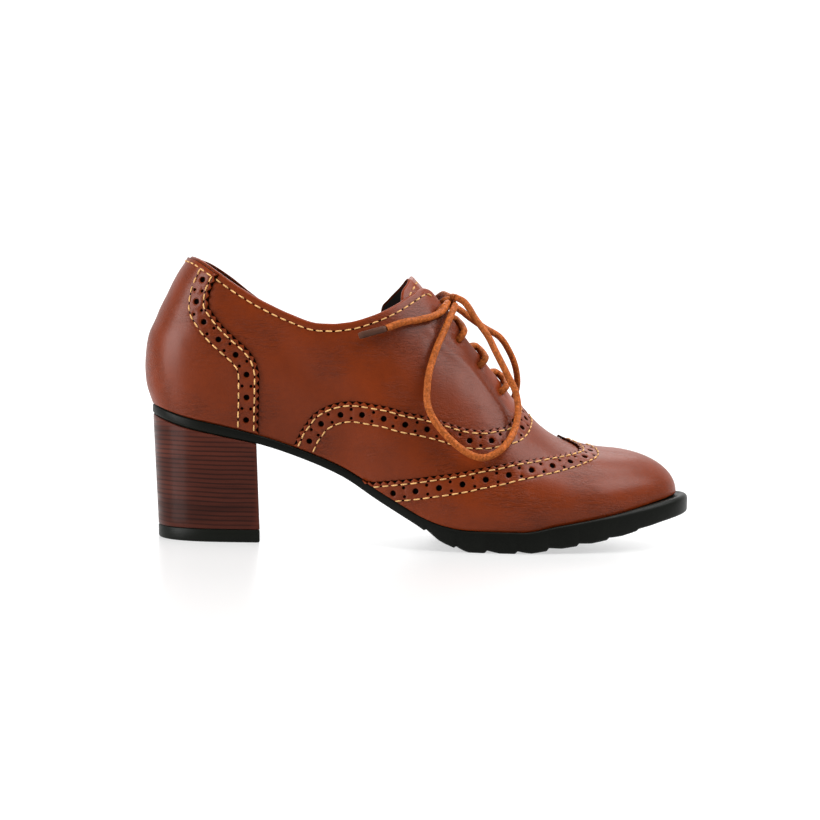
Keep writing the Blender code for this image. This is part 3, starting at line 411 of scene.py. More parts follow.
def through(rows, column):
    """A smooth curve, with no overshoot, through one column of a table, read against its first."""
    at = np.array([row[0] for row in rows], float)
    value = np.array([getattr(row, column) for row in rows], float)
    step = np.diff(at)
    slope = np.diff(value) / step
    tangent = np.concatenate([slope[:1], np.zeros(len(slope) - 1), slope[-1:]])
    for i in range(1, len(slope)):
        if slope[i - 1] * slope[i] > 0:
            before = 2 * step[i] + step[i - 1]
            after = step[i] + 2 * step[i - 1]
            tangent[i] = (before + after) / (before / slope[i - 1] + after / slope[i])

    def read(where):
        where = np.asarray(where, float)
        i = np.clip(np.searchsorted(at, where) - 1, 0, len(step) - 1)
        t = np.clip((where - at[i]) / step[i], 0, 1)
        start = (2 * t**3 - 3 * t**2 + 1) * value[i] + (t**3 - 2 * t**2 + t) * step[i] * tangent[i]
        end = (3 * t**2 - 2 * t**3) * value[i + 1] + (t**3 - t**2) * step[i] * tangent[i + 1]
        return start + end

    return read


SECTION = {name: through(SECTIONS, name) for name in Section._fields[1:]}
heel_set_in = through(HEEL_CURVE, "set_in")
welt_share = through(WELT, "welt")
facing_level = through(TOPLINE[TOP_ROW:], "level")


def blend(level, *controls):
    """The quartic curve that the five controls of a section draw, from feather edge to ridge."""
    rest = 1 - level
    weights = (rest**4, 4 * rest**3 * level, 6 * rest**2 * level**2, 4 * rest * level**3, level**4)
    return sum(weight * control for weight, control in zip(weights, controls))


def end_rounding(along):
    """How much of its full width the outline has at a share along, round the heel and the toe."""
    from_heel = np.clip(along * LAST_LENGTH / HEEL_ROUND, 0, 1)
    from_toe = np.clip((1 - along) * LAST_LENGTH / TOE_ROUND, 0, 1)
    heel = (1 - (1 - from_heel) ** HEEL_ROUNDNESS) ** (1 / HEEL_ROUNDNESS)
    toe = (1 - (1 - from_toe) ** TOE_ROUNDNESS) ** (1 / TOE_ROUNDNESS)
    return heel * toe


def underside(along):
    """Height of the sole's lower face above the floor."""
    return SEAT_RISE * SECTION["arch"](along) + TOE_SPRING * SECTION["spring"](along)


def sole_top(along):
    """Height of the sole's upper face above the floor."""
    return underside(along) + TREAD_THICKNESS * SECTION["tread"](along)


def last_point(along, level, side):
    """A point of the upper's outside; side is -1 on the outer side and 1 on the inner side."""
    along = np.clip(along, 0, 1)
    heel_share = np.clip(1 - along / HEEL_REACH, 0, 1) ** 2
    toe_share = np.clip((along - 1 + TOE_REACH) / TOE_REACH, 0, 1) ** 2
    shift = HEEL_SET_IN * heel_set_in(level) * heel_share
    shift = shift - TOE_SET_BACK * np.maximum(level, 0) ** TOE_CURVE_POWER * toe_share
    here = np.clip(along + shift / LAST_LENGTH, 0, 1)
    sole = np.where(side < 0, SECTION["sole_out"](here), SECTION["sole_in"](here))
    wall = np.where(side < 0, SECTION["wall_out"](here), SECTION["wall_in"](here))
    width = blend(level, sole, wall, SECTION["shoulder"](here), SECTION["crown"](here), 0)
    rise = blend(level, *RISE)
    x = LAST_BACK + along * LAST_LENGTH + shift
    y = TOE_SWING * SECTION["swing"](here) + side * BALL_WIDTH / 2 * end_rounding(along) * width
    z = sole_top(here) + SEAM + INSTEP_DEPTH * SECTION["depth"](here) * rise
    return np.stack(np.broadcast_arrays(x, y, z), axis=-1)


def run_of(points):
    """The distance along a row of points, from the first of them."""
    return np.concatenate([[0], np.cumsum(np.linalg.norm(np.diff(points, axis=0), axis=1))])


def feather_trace():
    """Distance round the outline from the heel for shares along, close together at both ends."""
    turn = np.linspace(0, math.pi, TRACE_STEPS)
    along = (1 - np.cos(turn)) / 2
    outer, inner = (last_point(along, TRACE_LEVEL, side) for side in (-1, 1))
    middle = (outer + inner * (1, -1, 1)) / 2
    return run_of(middle[:, :2]), along


TRACE, TRACE_ALONG = feather_trace()
SIDE_LENGTH = TRACE[-1]


def around(along, side):
    """The distance round the outline: from the heel over the outer side to the toe, and back."""
    distance = np.interp(along, TRACE_ALONG, TRACE)
    return distance if side < 0 else 2 * SIDE_LENGTH - distance


def share_of(distance):
    """The share along at a distance round the outline."""
    distance = np.mod(np.asarray(distance, float), 2 * SIDE_LENGTH)
    return np.interp(np.minimum(distance, 2 * SIDE_LENGTH - distance), TRACE, TRACE_ALONG)


def surface(distance, level):
    """A point of the upper's outside at a distance round the outline and a level."""
    outer = np.mod(np.asarray(distance, float), 2 * SIDE_LENGTH) <= SIDE_LENGTH
    return last_point(share_of(distance), np.asarray(level, float), np.where(outer, -1, 1))


def normal(distance, level):
    """The outward normal of the upper's outside, upright across the ridge."""
    level = np.asarray(level, float)
    on_ridge = level > RIDGE_LEVEL
    level = np.minimum(level, STEEP_LEVEL)
    across = surface(np.asarray(distance) + PROBE, level) - surface(np.asarray(distance) - PROBE, level)
    up = surface(distance, level + LEVEL_PROBE) - surface(distance, np.maximum(level - LEVEL_PROBE, 0))
    out = np.cross(across, up)
    out[..., 1] = np.where(on_ridge, 0, out[..., 1])
    return out / np.linalg.norm(out, axis=-1, keepdims=True)


def lifted(distance, level, height):
    """A point at a height over the upper's outside."""
    return surface(distance, level) + height * normal(distance, level)


def sunk(distance, level, height):
    """A point over the surface as lifted gives it, but lying flat across between the facings."""
    along = share_of(distance)
    steep = blend(np.asarray(level, float), *RISE) - blend(FLAT_FROM, *RISE)
    fade = np.clip((FLAT_TO[1] - along) / (FLAT_TO[1] - FLAT_TO[0]), 0, 1)
    drop = FLATNESS * fade * INSTEP_DEPTH * SECTION["depth"](along) * np.maximum(steep, 0)
    return lifted(distance, level, height) - drop[..., None] * (0, 0, 1)


def tidy_loop(places):
    """A boundary without its repeated places."""
    loop = []
    for place in places:
        if not loop or math.dist(flat(place), flat(loop[-1])) > SAME_PLACE:
            loop.append(place)
    if math.dist(flat(loop[0]), flat(loop[-1])) <= SAME_PLACE:
        loop.pop()
    return loop


def flat(place):
    """A surface place as a point of a nearly true-scale flat pattern."""
    return place[0], place[1] * LEVEL_SPAN


def inside_loop(points, loop):
    """Which points lie inside a closed loop, by counting the edges to their right."""
    found = np.zeros(len(points), bool)
    start = np.array(loop)
    end = np.roll(start, -1, axis=0)
    for (x0, y0), (x1, y1) in zip(start, end):
        if y0 == y1:
            continue
        crosses = (points[:, 1] < y0) != (points[:, 1] < y1)
        found ^= crosses & (points[:, 0] < (x1 - x0) * (points[:, 1] - y0) / (y1 - y0) + x0)
    return found


def units(rows):
    """Vectors brought to a length of one."""
    return rows / np.maximum(np.linalg.norm(rows, axis=-1, keepdims=True), 1e-12)


def slopes(places):
    """How the surface runs for each metre of distance and each whole level, at places on it."""
    distance, level = places.T
    low = np.maximum(level - LEVEL_PROBE, 0)
    high = np.minimum(level + LEVEL_PROBE, 1)
    along = (surface(distance + PROBE, level) - surface(distance - PROBE, level)) / (2 * PROBE)
    up = (surface(distance, high) - surface(distance, low)) / (high - low)[:, None]
    return along, up


def step_over(places, direction, length):
    """Places moved over the surface by a length in a direction given in metres."""
    along, up = slopes(places)
    aa, ab, bb = (along * along).sum(1), (along * up).sum(1), (up * up).sum(1)
    da, db = (along * direction).sum(1), (up * direction).sum(1)
    whole = aa * bb - ab * ab
    change = np.stack([(da * bb - db * ab) / whole, (db * aa - da * ab) / whole], axis=1)
    moved = change[:, :1] * along + change[:, 1:] * up
    length = np.broadcast_to(length, len(places)) / np.linalg.norm(moved, axis=1)
    return places + change * length[:, None]


def tree_of(points):
    """A search tree over points."""
    tree = kdtree.KDTree(len(points))
    for i, point in enumerate(points):
        tree.insert(point, i)
    tree.balance()
    return tree


def nearest(points, others):
    """How far each point is from the nearest of the others."""
    tree = tree_of(others)
    return np.array([tree.find(point)[2] for point in points])


class Line:
    """A line on the surface: its places, points, run, and the direction into its piece."""

    def __init__(self, places, inward):
        points = surface(*places.T)
        run = run_of(points)
        keep = np.concatenate([[True], np.diff(run) > 1e-7])
        count = max(3, round(run[-1] / LINE_STEP))
        self.run = np.linspace(0, run[-1], count + 1)
        self.places = np.stack([np.interp(self.run, run[keep], places[keep, k]) for k in (0, 1)], 1)
        self.points = surface(*self.places.T)
        self.inward = inward
        self.length = run[-1]
        ahead = units(np.gradient(self.points, axis=0))
        self.into = inward * units(np.cross(normal(*self.places.T), ahead))

    def at(self, run, aside=0.0):
        """Places at distances along the line, moved aside into the piece."""
        places = np.stack([np.interp(run, self.run, self.places[:, k]) for k in (0, 1)], 1)
        aside = np.broadcast_to(aside, len(places))
        if not np.any(aside):
            return places
        into = units(np.stack([np.interp(run, self.run, self.into[:, k]) for k in range(3)], 1))
        return step_over(places, into, aside)

    def beside(self, aside):
        """The line that runs beside this one, without the places that fold over in tight turns."""
        places, steps = self.places, max(1, math.ceil(abs(aside) / MARCH_STEP))
        for _ in range(steps):
            places = step_over(places, self.into, aside / steps)
        inside = (places[:, 1] < 1) & (places[:, 1] > 0.002)
        far = nearest(surface(*places.T), self.points) > abs(aside) - FOLD_ROOM
        return Line(places[inside & far], self.inward)


def drawn(rows, side, inward):
    """The line through a table of rows on one side, rounded between its rows."""
    spots = last_point(np.array([row[0] for row in rows]), np.array([row[1] for row in rows]), side)
    run = run_of(spots)
    Row = namedtuple("Row", "run along level")
    table = [Row(where, *row[:2]) for where, row in zip(run, rows)]
    at = np.linspace(0, run[-1], max(3, round(run[-1] / LINE_STEP)))
    along, level = through(table, "along")(at), through(table, "level")(at)
    return Line(np.stack([around(along, side), level], 1), inward * side)


def relief(points):
    """How far creases and swells lift the leather at points of the surface."""
    height = np.zeros(len(points))
    for crease in CREASES:
        for side in crease.sides:
            near = nearest(points, drawn(crease.rows, side, 1).points)
            height += crease.height * np.exp(-((near / crease.width) ** 2))
    return height


def straight(start, end, step=EDGE_STEP):
    """Places on a straight run between two places."""
    length = math.dist(surface(*start), surface(*end))
    count = max(2, round(max(length, abs(end[0] - start[0])) / step))
    return [
        (start[0] + (end[0] - start[0]) * i / count, start[1] + (end[1] - start[1]) * i / count)
        for i in range(count + 1)
    ]


def gimped(line, pitch, depth):
    """A zigzag edge: tips on the line and roots inside the piece, with plain ends."""
    teeth = max(1, round(line.length / pitch))
    run = np.linspace(0, line.length, 4 * teeth + 1)
    share = np.tile([0.0, 0.5, 1.0, 0.5], teeth)
    return [tuple(place) for place in line.at(run, depth * np.append(share, 0.0))]


def plain(line, step=EDGE_STEP):
    """The places of a smooth edge, a step apart."""
    run = np.linspace(0, line.length, max(2, round(line.length / step)) + 1)
    return [tuple(place) for place in line.at(run)]


def circle(place, radius, count):
    """A round hole on the surface, as places."""
    centre = np.tile(place, (count, 1))
    along, up = slopes(centre)
    along = units(along)
    up = units(np.cross(normal(*centre.T), along))
    turn = np.linspace(0, 2 * math.pi, count, endpoint=False)[:, None]
    return step_over(centre, along * np.cos(turn) + up * np.sin(turn), radius)


def grid_places(cell, level_step):
    """Rows of places over the whole surface, staggered, a cell apart."""
    fine = np.linspace(0, 2 * SIDE_LENGTH, 3000)
    rows = []
    for number, level in enumerate(np.arange(level_step, 1, level_step)):
        points = surface(fine, np.full(len(fine), level))
        run = run_of(points)
        at = np.interp(np.arange(number % 2 / 2 * cell, run[-1], cell), run, fine)
        rows.append(np.stack([at, np.full(len(at), level)], 1))
    return np.concatenate(rows)


def cut_sheet(boundary, holes, guides, cell, level_step):
    """Triangles that fill a boundary on the surface, with holes, and rows of points on the guides."""
    loops = [np.array(tidy_loop(boundary)), *[np.array(hole) for hole in holes]]
    grid = grid_places(cell, level_step)
    grid = np.concatenate([grid, grid - (2 * SIDE_LENGTH, 0)])
    rim = np.concatenate(loops)
    inner = np.concatenate(guides) if guides else np.zeros((0, 2))
    outline = [flat(place) for place in loops[0]]
    grid = grid[inside_loop(np.array([grid[:, 0], grid[:, 1] * LEVEL_SPAN]).T, outline)]
    if len(inner):
        inner = inner[inside_loop(np.array([inner[:, 0], inner[:, 1] * LEVEL_SPAN]).T, outline)]
        inner = inner[nearest(surface(*inner.T), surface(*rim.T)) > GUIDE_ROOM]
    clear = nearest(surface(*grid.T), surface(*rim.T)) > RIM_ROOM * cell
    if len(inner):
        clear &= nearest(surface(*grid.T), surface(*inner.T)) > ROW_ROOM * cell
    if holes:
        middles = surface(*np.array([np.mean(hole, axis=0) for hole in holes]).T)
        rims = surface(*np.array([hole[0] for hole in holes]).T)
        reach = np.linalg.norm(rims - middles, axis=1).max()
        clear &= nearest(surface(*grid.T), middles) > reach
        if len(inner):
            inner = inner[nearest(surface(*inner.T), middles) > reach + LIP_ROOM]
    places = np.concatenate([rim, inner, grid[clear]])
    hole_of = np.full(len(places), -1)
    edges, first = [], 0
    for number, loop in enumerate(loops):
        count = len(loop)
        edges += [(first + i, first + (i + 1) % count) for i in range(count)]
        if number:
            hole_of[first : first + count] = number
        first += count
    spots = [Vector((distance, level * LEVEL_SPAN)) for distance, level in places]
    found, _, faces, origin, *_ = delaunay_2d_cdt(spots, edges, [], 0, 1e-8)
    found = np.array([tuple(spot) for spot in found])
    hole = np.array([hole_of[ids[0]] if ids else -1 for ids in origin])
    faces = np.array([face for face in faces if len(face) == 3])
    middle = found[faces].mean(axis=1)
    in_hole = (hole[faces] > 0).all(axis=1) & (hole[faces].min(1) == hole[faces].max(1))
    faces = faces[inside_loop(middle, outline) & ~in_hole]
    used, faces = np.unique(faces, return_inverse=True)
    found = found[used]
    return np.stack([found[:, 0], found[:, 1] / LEVEL_SPAN], 1), faces.reshape(-1, 3)


def sewn_up(places, faces):
    """Joins the places that meet on the ridge of the instep, at its toe end and at the back seam."""
    from_toe = np.linalg.norm(surface(*places.T) - surface(SIDE_LENGTH, 1.0), axis=1)
    keys = {}
    first = np.arange(len(places))
    for i, (distance, level) in enumerate(places):
        wrapped = distance % (2 * SIDE_LENGTH)
        mirrored = min(wrapped, 2 * SIDE_LENGTH - wrapped)
        if level > 0.9999:
            key = "toe" if from_toe[i] < TOE_JOIN else ("ridge", round(mirrored, 6))
        elif mirrored < 1e-6:
            key = ("seam", round(level, 6))
        else:
            continue
        first[i] = keys.setdefault(key, i)
    faces = first[faces]
    distinct = (faces[:, 0] != faces[:, 1]) & (faces[:, 1] != faces[:, 2]) & (faces[:, 0] != faces[:, 2])
    used, faces = np.unique(faces[distinct], return_inverse=True)
    return places[used], faces.reshape(-1, 3)


def open_edges(faces):
    """Where the mesh is open: the next point and the one before, for each point of a rim."""
    pairs = {(a, b) for face in faces for a, b in zip(face, (*face[1:], face[0]))}
    ahead = {a: b for a, b in pairs if (b, a) not in pairs}
    behind = {b: a for a, b in ahead.items()}
    return ahead, behind


def shell(name, places, faces, outer, inner, profile, dips=(), base_at=surface):
    """A closed sheet of leather between two heights over the surface, with a shaped rim."""
    places, faces = sewn_up(places, faces)
    base = base_at(*places.T)
    out = normal(*places.T)
    crease = relief(base)
    height = np.full(len(places), float(outer))
    for points, depth, width in dips:
        height -= depth * np.exp(-((nearest(base, points) / width) ** 2))
    top = base + out * (height + crease)[:, None]
    low = base + out * (inner + crease)[:, None]
    count = len(places)
    ahead, behind = open_edges([tuple(face) for face in faces.tolist()])
    rim = sorted(i for i in ahead if i in behind)
    place_of = {i: k for k, i in enumerate(rim)}
    run = units(base[[ahead[i] for i in rim]] - base[[behind[i] for i in rim]])
    aside = units(np.cross(run, out[rim]))
    rows = [
        base[rim] + out[rim] * (inner + crease[rim] + share * (height[rim] - inner))[:, None] + reach * aside
        for reach, share in profile
    ]
    points = np.concatenate([top, low, *rows])
    corners = faces.tolist()
    marks = [0] * len(corners)
    corners += [[c + count for c in reversed(face)] for face in faces.tolist()]
    marks += [2] * len(faces)
    levels = [lambda i: i]
    for k in range(len(rows)):
        levels.append(lambda i, k=k: 2 * count + k * len(rim) + place_of[i])
    levels.append(lambda i: i + count)
    for i, j in ahead.items():
        if i in place_of and j in place_of:
            for number, (a, b) in enumerate(zip(levels, levels[1:])):
                corners.append([b(i), b(j), a(j), a(i)])
                marks.append(0 if profile is ROLLED and number < ROLLED_FACES else 1)
    return mesh_of(name, points.tolist(), corners, marks)


def mesh_of(name, points, faces, marks=None):
    """A mesh from points and faces, with each face's material number if there is more than one."""
    mesh = bpy.data.meshes.new(name)
    mesh.from_pydata(points, [], faces)
    if marks is not None:
        mesh.polygons.foreach_set("material_index", marks)
    return mesh


def tube_faces(first, rings, sides):
    """The faces of a tube with closed ends, through rings of points numbered from first."""
    faces = []
    last = first + (rings - 1) * sides
    for start in range(first, last, sides):
        for j in range(sides):
            a, b = start + j, start + (j + 1) % sides
            faces.append((a, b, b + sides, a + sides))
    faces.append(tuple(reversed(range(first, first + sides))))
    faces.append(tuple(range(last, last + sides)))
    return faces


def smooth(mesh, angle=45):
    """Shades a mesh smooth, apart from edges sharper than an angle."""
    mesh.shade_smooth()
    mesh.set_sharp_from_angle(angle=math.radians(angle))
    return mesh


def placed(name, data, materials, slot, *nodes):
    """Adds a piece, gives it its finish and hides the solids it stands for."""
    item = bpy.data.objects.new(name, data)
    bpy.context.scene.collection.objects.link(item)
    for material in materials:
        data.materials.append(material)
    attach(item, "root")
    if nodes:
        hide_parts(*nodes)
    return item


def brogue_places(line):
    """Middles of the big holes and of the small pairs along the middle of a band."""
    count = max(1, round(line.length / HOLE_PITCH - 0.5))
    big = (np.arange(count) + 0.5) * line.length / count
    between = np.arange(1, count) * line.length / count
    small = [line.at(between, aside) for aside in (-SMALL_ASIDE, SMALL_ASIDE)]
    return line.at(big), np.concatenate(small)


def punched(line):
    """The holes of a band, as loops, without those too close to the ridge or the foot."""
    big, small = brogue_places(line)
    holes = [(place, BIG_HOLE, BIG_HOLE_SIDES) for place in big]
    holes += [(place, SMALL_HOLE, SMALL_HOLE_SIDES) for place in small]
    low, high = HOLE_LEVELS
    return [circle(place, size / 2, count) for place, size, count in holes if low < place[1] < high]


def grown(hole, factor):
    """A hole's loop made larger about its middle."""
    middle = np.mean(hole, axis=0)
    return middle + (hole - middle) * factor


def lips(holes):
    """Rings of places just outside the holes, for their soft lips."""
    return [grown(hole, HOLE_LIP) for hole in holes]


def row_guides(line):
    """Rows of places on and beside a stitch row, for the groove it pulls in the leather."""
    run = np.arange(GUIDE_FROM, line.length - GUIDE_TO, GUIDE_STEP)
    return [line.at(run, aside) for aside in (-GUIDE_ASIDE, 0.0, GUIDE_ASIDE)]


class Trim:
    """The lines of an overlay on one side: its edge and its teeth, its stitch rows and its holes."""

    def __init__(self, edge, side, inward):
        self.edge = drawn(edge, side, inward)
        self.teeth = gimped(self.edge, GIMP_PITCH, GIMP_DEPTH)
        self.first = self.edge.beside(FIRST_ROW)
        self.second = self.edge.beside(FIRST_ROW + BAND_WIDTH)
        self.middle = self.edge.beside(FIRST_ROW + BAND_WIDTH / 2)
        self.holes = punched(self.middle)


def flat_across(distance, level):
    """The surface as it lies between the facings, for the tongue."""
    return sunk(distance, level, 0.0)


def overlay_faces(trims, boundary, cells, shifts=(0.0, 0.0)):
    """The sheet of an overlay, with each side's holes and rows shifted to where the sheet has that side."""
    shifted = list(zip(trims, [(shift, 0.0) for shift in shifts]))
    holes = [hole + shift for trim, shift in shifted for hole in trim.holes]
    guides = [
        guide + shift
        for trim, shift in shifted
        for row in (trim.first, trim.second)
        for guide in row_guides(row)
    ]
    return cut_sheet(boundary, holes, [*guides, *lips(holes)], *cells)


def overlay_dips(trims):
    """The grooves of the stitch rows, the lips of the holes and the pressed edge of an overlay."""
    rows = np.concatenate([row.points for trim in trims for row in (trim.first, trim.second)])
    rims = np.concatenate([surface(*hole.T) for trim in trims for hole in trim.holes])
    edges = np.concatenate([surface(*np.array(trim.teeth).T) for trim in trims])
    return ((rows[::2], *STITCH_DIP), (rims, *HOLE_DIP), (edges, *EDGE_DIP))


def shade_strips(trims, height):
    """Dark strips of painted shade that show through the holes and between the teeth, as points and faces."""
    points, faces = [], []
    half = SHADE_STRIP_WIDTH / 2
    strips = [(trim.middle, (-half, 0.0, half)) for trim in trims]
    strips += [(trim.edge, EDGE_SHADE_STRIP) for trim in trims]
    for line, asides in strips:
        run = np.arange(0, line.length, SHADE_STRIP_STEP)
        first = len(points)
        for aside in asides:
            places = line.at(run, aside)
            places[:, 1] = np.minimum(places[:, 1], 1)
            spots = surface(*places.T)
            points += (spots + normal(*places.T) * (height + relief(spots))[:, None]).tolist()
        count = len(run)
        for row in (0, 1):
            for i in range(count - 1):
                a = first + row * count + i
                faces.append((a, a + count, a + count + 1, a + 1))
    return points, faces


def with_strips(mesh, points, faces, mark):
    """Adds strips to a mesh, under a material of their own."""
    first = len(mesh.vertices)
    spots = [tuple(vertex.co) for vertex in mesh.vertices] + points
    corners = [tuple(face.vertices) for face in mesh.polygons]
    marks = [face.material_index for face in mesh.polygons] + [mark] * len(faces)
    corners += [tuple(first + i for i in face) for face in faces]
    joined = mesh_of(mesh.name, spots, corners, marks)
    bpy.data.meshes.remove(mesh)
    return joined


def make_quarters():
    """The quarters with their facings: one sheet from the sole to the rolled topline."""
    outer, inner = (drawn(topline(side), side, 1) for side in (-1, 1))
    throat = outer.places[-1][0]
    bottom = straight((0.0, 0.0), (2 * SIDE_LENGTH, 0.0))
    back = straight((2 * SIDE_LENGTH, 0.0), (2 * SIDE_LENGTH, outer.places[0][1]))
    ridge = straight((throat, 1.0), (2 * SIDE_LENGTH - throat, 1.0))
    boundary = [*bottom, *back, *plain(inner), *reversed(ridge), *reversed(plain(outer))]
    boundary += [(0.0, level) for _, level in reversed(back)]
    holes = [
        circle((around(eyelet.along, side), eyelet.level), EYELET_DIAMETER / 2 + EYELET_WEAR, EYELET_ROUND)
        for side in (-1, 1)
        for eyelet in EYELETS
    ]
    rows = [topline_row(side) for side in (-1, 1)]
    guides = [guide for row in rows for guide in row_guides(row)]
    places, faces = cut_sheet(boundary, holes, [*guides, *lips(holes)], *QUARTER_CELLS)
    rims = np.concatenate([surface(*hole.T) for hole in holes])
    dips = ((np.concatenate([row.points for row in rows]), *STITCH_DIP), (rims, *EYELET_DIP))
    mesh = shell("quarters", places, faces, 0.0, -UPPER_WALL, ROLLED, dips)
    # Dark discs of painted shade under the eyelets
    points, discs = [], []
    for hole in holes:
        discs.append(tuple(range(len(points), len(points) + len(hole))))
        points += lifted(*grown(hole, EYELET_SHADE_SIZE).T, -UPPER_WALL - 0.5 * LAP_GAP).tolist()
    return smooth(with_strips(mesh, points, discs, 3))


def topline(side):
    """The rows of the topline on one side."""
    drop = through(INNER_DROP, "level")
    return [Edge(along, level - (float(drop(along)) if side > 0 else 0.0)) for along, level in TOPLINE]


def topline_row(side):
    """The line of the topline's stitch row on one side."""
    return drawn(topline(side)[:TOP_ROW], side, 1).beside(TOPLINE_ROW)


def topline_seams(side):
    """The stitch row of the topline with its heights: over the counter at the back, then over the quarter."""
    row = topline_row(side)
    share = share_of(row.places[:, 0])
    back = share < COUNTER_EDGE[0].along - COUNTER_INSET
    return [(Line(row.places[back], row.inward), OVER_QUARTER), (Line(row.places[~back], row.inward), 0.0)]


def counter_seams(side):
    """The stitch rows of the counter, carried on up to the topline."""
    line = drawn([COUNTER_START, *COUNTER_ROWS], side, 1)
    top = through(topline(side)[:TOP_ROW], "level")
    rows = []
    for aside in (FIRST_ROW, FIRST_ROW + BAND_WIDTH):
        row = line.beside(aside)
        share = share_of(row.places[:, 0])
        below = row.places[:, 1] < top(share) - SEAM_STOP
        rows.append((Line(row.places[below], row.inward), OVER_QUARTER))
    return rows


def tongue_seams():
    """The stitch row round the top of the tongue."""
    rows = []
    for side, edge in ((-1, TONGUE_OUTER), (1, TONGUE_INNER)):
        rows.append((drawn(edge[1:TONGUE_ROWS], side, -1).beside(TOPLINE_ROW), -UPPER_WALL - LAP_GAP))
    return rows


def make_counter():
    """The counter over the back of the quarters, with its dark strips of painted shade under the holes and
    teeth.
    """
    trims = [Trim(COUNTER_ROWS, side, 1) for side in (-1, 1)]
    edges = [trim.teeth for trim in trims]
    level_at = through(TOPLINE[:TOP_ROW], "level")
    top = edges[0][0][0]
    rim = []
    for distance in np.linspace(0, top, round(top / EDGE_STEP)):
        rim.append((distance, float(level_at(share_of(distance))) - RIM_DROP))
    rim[-1] = edges[0][0]
    mirror = [(-distance, level) for distance, level in rim[1:-1]]
    inner = [(distance - 2 * SIDE_LENGTH, level) for distance, level in edges[1]]
    bottom = straight(edges[0][-1], inner[-1])
    boundary = [*rim, *edges[0][1:], *bottom[1:-1], *reversed(inner), *reversed(mirror)]
    places, faces = overlay_faces(trims, boundary, COUNTER_CELLS, (0.0, -2 * SIDE_LENGTH))
    mesh = shell("counter", places, faces, OVER_QUARTER, OVERLAY_LOW, CUT, overlay_dips(trims))
    return smooth(with_strips(mesh, *shade_strips(trims, SHADE_STRIP_HEIGHT), 3))


def make_front(name, rows, outer_height, under):
    """A piece round the toe, up to a gimped edge that meets itself on the ridge."""
    trims = [Trim(rows, side, 1) for side in (-1, 1)]
    outer, inner = (trim.teeth for trim in trims)
    ridge = straight(outer[-1], (2 * SIDE_LENGTH - outer[-1][0], outer[-1][1]))
    bottom = straight(outer[0], (2 * SIDE_LENGTH - outer[0][0], outer[0][1]))
    boundary = [*outer, *ridge[1:-1], *reversed(inner), *reversed(bottom[1:-1])]
    places, faces = overlay_faces(trims, boundary, FRONT_CELLS)
    mesh = shell(name, places, faces, outer_height, under + OVERLAY_LOW, CUT, overlay_dips(trims))
    # Near-black strips of painted shade under the holes and the teeth
    return smooth(with_strips(mesh, *shade_strips(trims, under + SHADE_STRIP_HEIGHT), 3))


def make_tongue_mesh():
    """The tongue under the facings, padded and rolled at its top."""
    outer, inner = (drawn(edge, side, -1) for edge, side in ((TONGUE_OUTER, -1), (TONGUE_INNER, 1)))
    top, foot = outer.places[0][0], outer.places[-1][0]
    ridge = straight((top, 1.0), (foot, 1.0))
    halves = []
    for edge, line in ((outer, ridge), (inner, [(2 * SIDE_LENGTH - d, level) for d, level in ridge])):
        halves.append(cut_sheet([*reversed(plain(edge)), *line[1:-1]], [], [], *TONGUE_CELLS))
    places = np.concatenate([half[0] for half in halves])
    faces = np.concatenate([halves[0][1], halves[1][1] + len(halves[0][0])])
    top = -UPPER_WALL - LAP_GAP
    mesh = shell("tongue_leather", places, faces, top, top - TONGUE_WALL, ROLLED, base_at=flat_across)
    return smooth(mesh)


def thread_rings(line, middles, height, turn):
    """Rings of points round short arched stitches with their middles at distances along a line."""
    ahead = np.linspace(-1, 1, THREAD_RINGS)
    places = line.at((middles[:, None] + ahead * STITCH_LENGTH / 2).ravel())
    places[:, 1] = np.clip(places[:, 1], 0, 1)
    spots = (flat_across if height < 0 else surface)(*places.T)
    out = normal(*places.T)
    spots = spots + out * relief(spots)[:, None]
    ahead = np.tile(ahead, len(middles))
    arch = height - STITCH_SINK + STITCH_ARCH * (1 - ahead**4)
    thick = THREAD / 2 * np.sqrt(np.maximum(1 - (THREAD_TAPER * ahead) ** 4, 0.0))
    aside = units(np.cross(out, units(np.gradient(spots, axis=0))))
    return (
        spots[:, None]
        + out[:, None] * (arch[:, None] + thick[:, None] * np.sin(turn))[..., None]
        + aside[:, None] * (THREAD_SPREAD * thick[:, None] * np.cos(turn))[..., None]
    )


def needle_hole_shades(line, gaps, height, turn):
    """Small dark discs of painted shade in the leather, for the needle holes between the stitches of a line.
    """
    places = line.at(gaps)
    spots = (flat_across if height < 0 else surface)(*places.T)
    out = normal(*places.T)
    last = len(line.run) - 1
    before = np.clip((gaps / line.length * last + ROUNDING).astype(int), 0, last)
    forward = units(np.cross(out, line.into[before]))
    aside = units(np.cross(out, forward))
    spots = spots + out * (relief(spots) + height - NEEDLE_SINK)[:, None]
    return [
        [(spot + NEEDLE_LENGTH * math.cos(t) * u + NEEDLE_WIDTH * math.sin(t) * v).tolist() for t in turn]
        for spot, u, v in zip(spots, forward, aside)
    ]


def stitches(rows):
    """Waxed thread along rows of (line, height), with a dark disc of painted shade for the needle hole
    between two stitches.
    """
    points, faces, marks = [], [], []
    turn = np.linspace(0, 2 * math.pi, THREAD_SIDES, endpoint=False)
    for line, height in rows:
        count = max(1, round(line.length / STITCH_PITCH - 0.4))
        middles = (np.arange(count) + 0.5) * line.length / count
        first = len(points)
        points += thread_rings(line, middles, height, turn).reshape(-1, 3).tolist()
        for k in range(count):
            tube = tube_faces(first + k * THREAD_RINGS * THREAD_SIDES, THREAD_RINGS, THREAD_SIDES)
            faces += tube
            marks += [0] * len(tube)
        for disc in needle_hole_shades(line, np.arange(1, count) * line.length / count, height, turn):
            faces.append(tuple(range(len(points), len(points) + THREAD_SIDES)))
            points += disc
            marks.append(1)
    return smooth(mesh_of("stitching", points, faces, marks), 60)


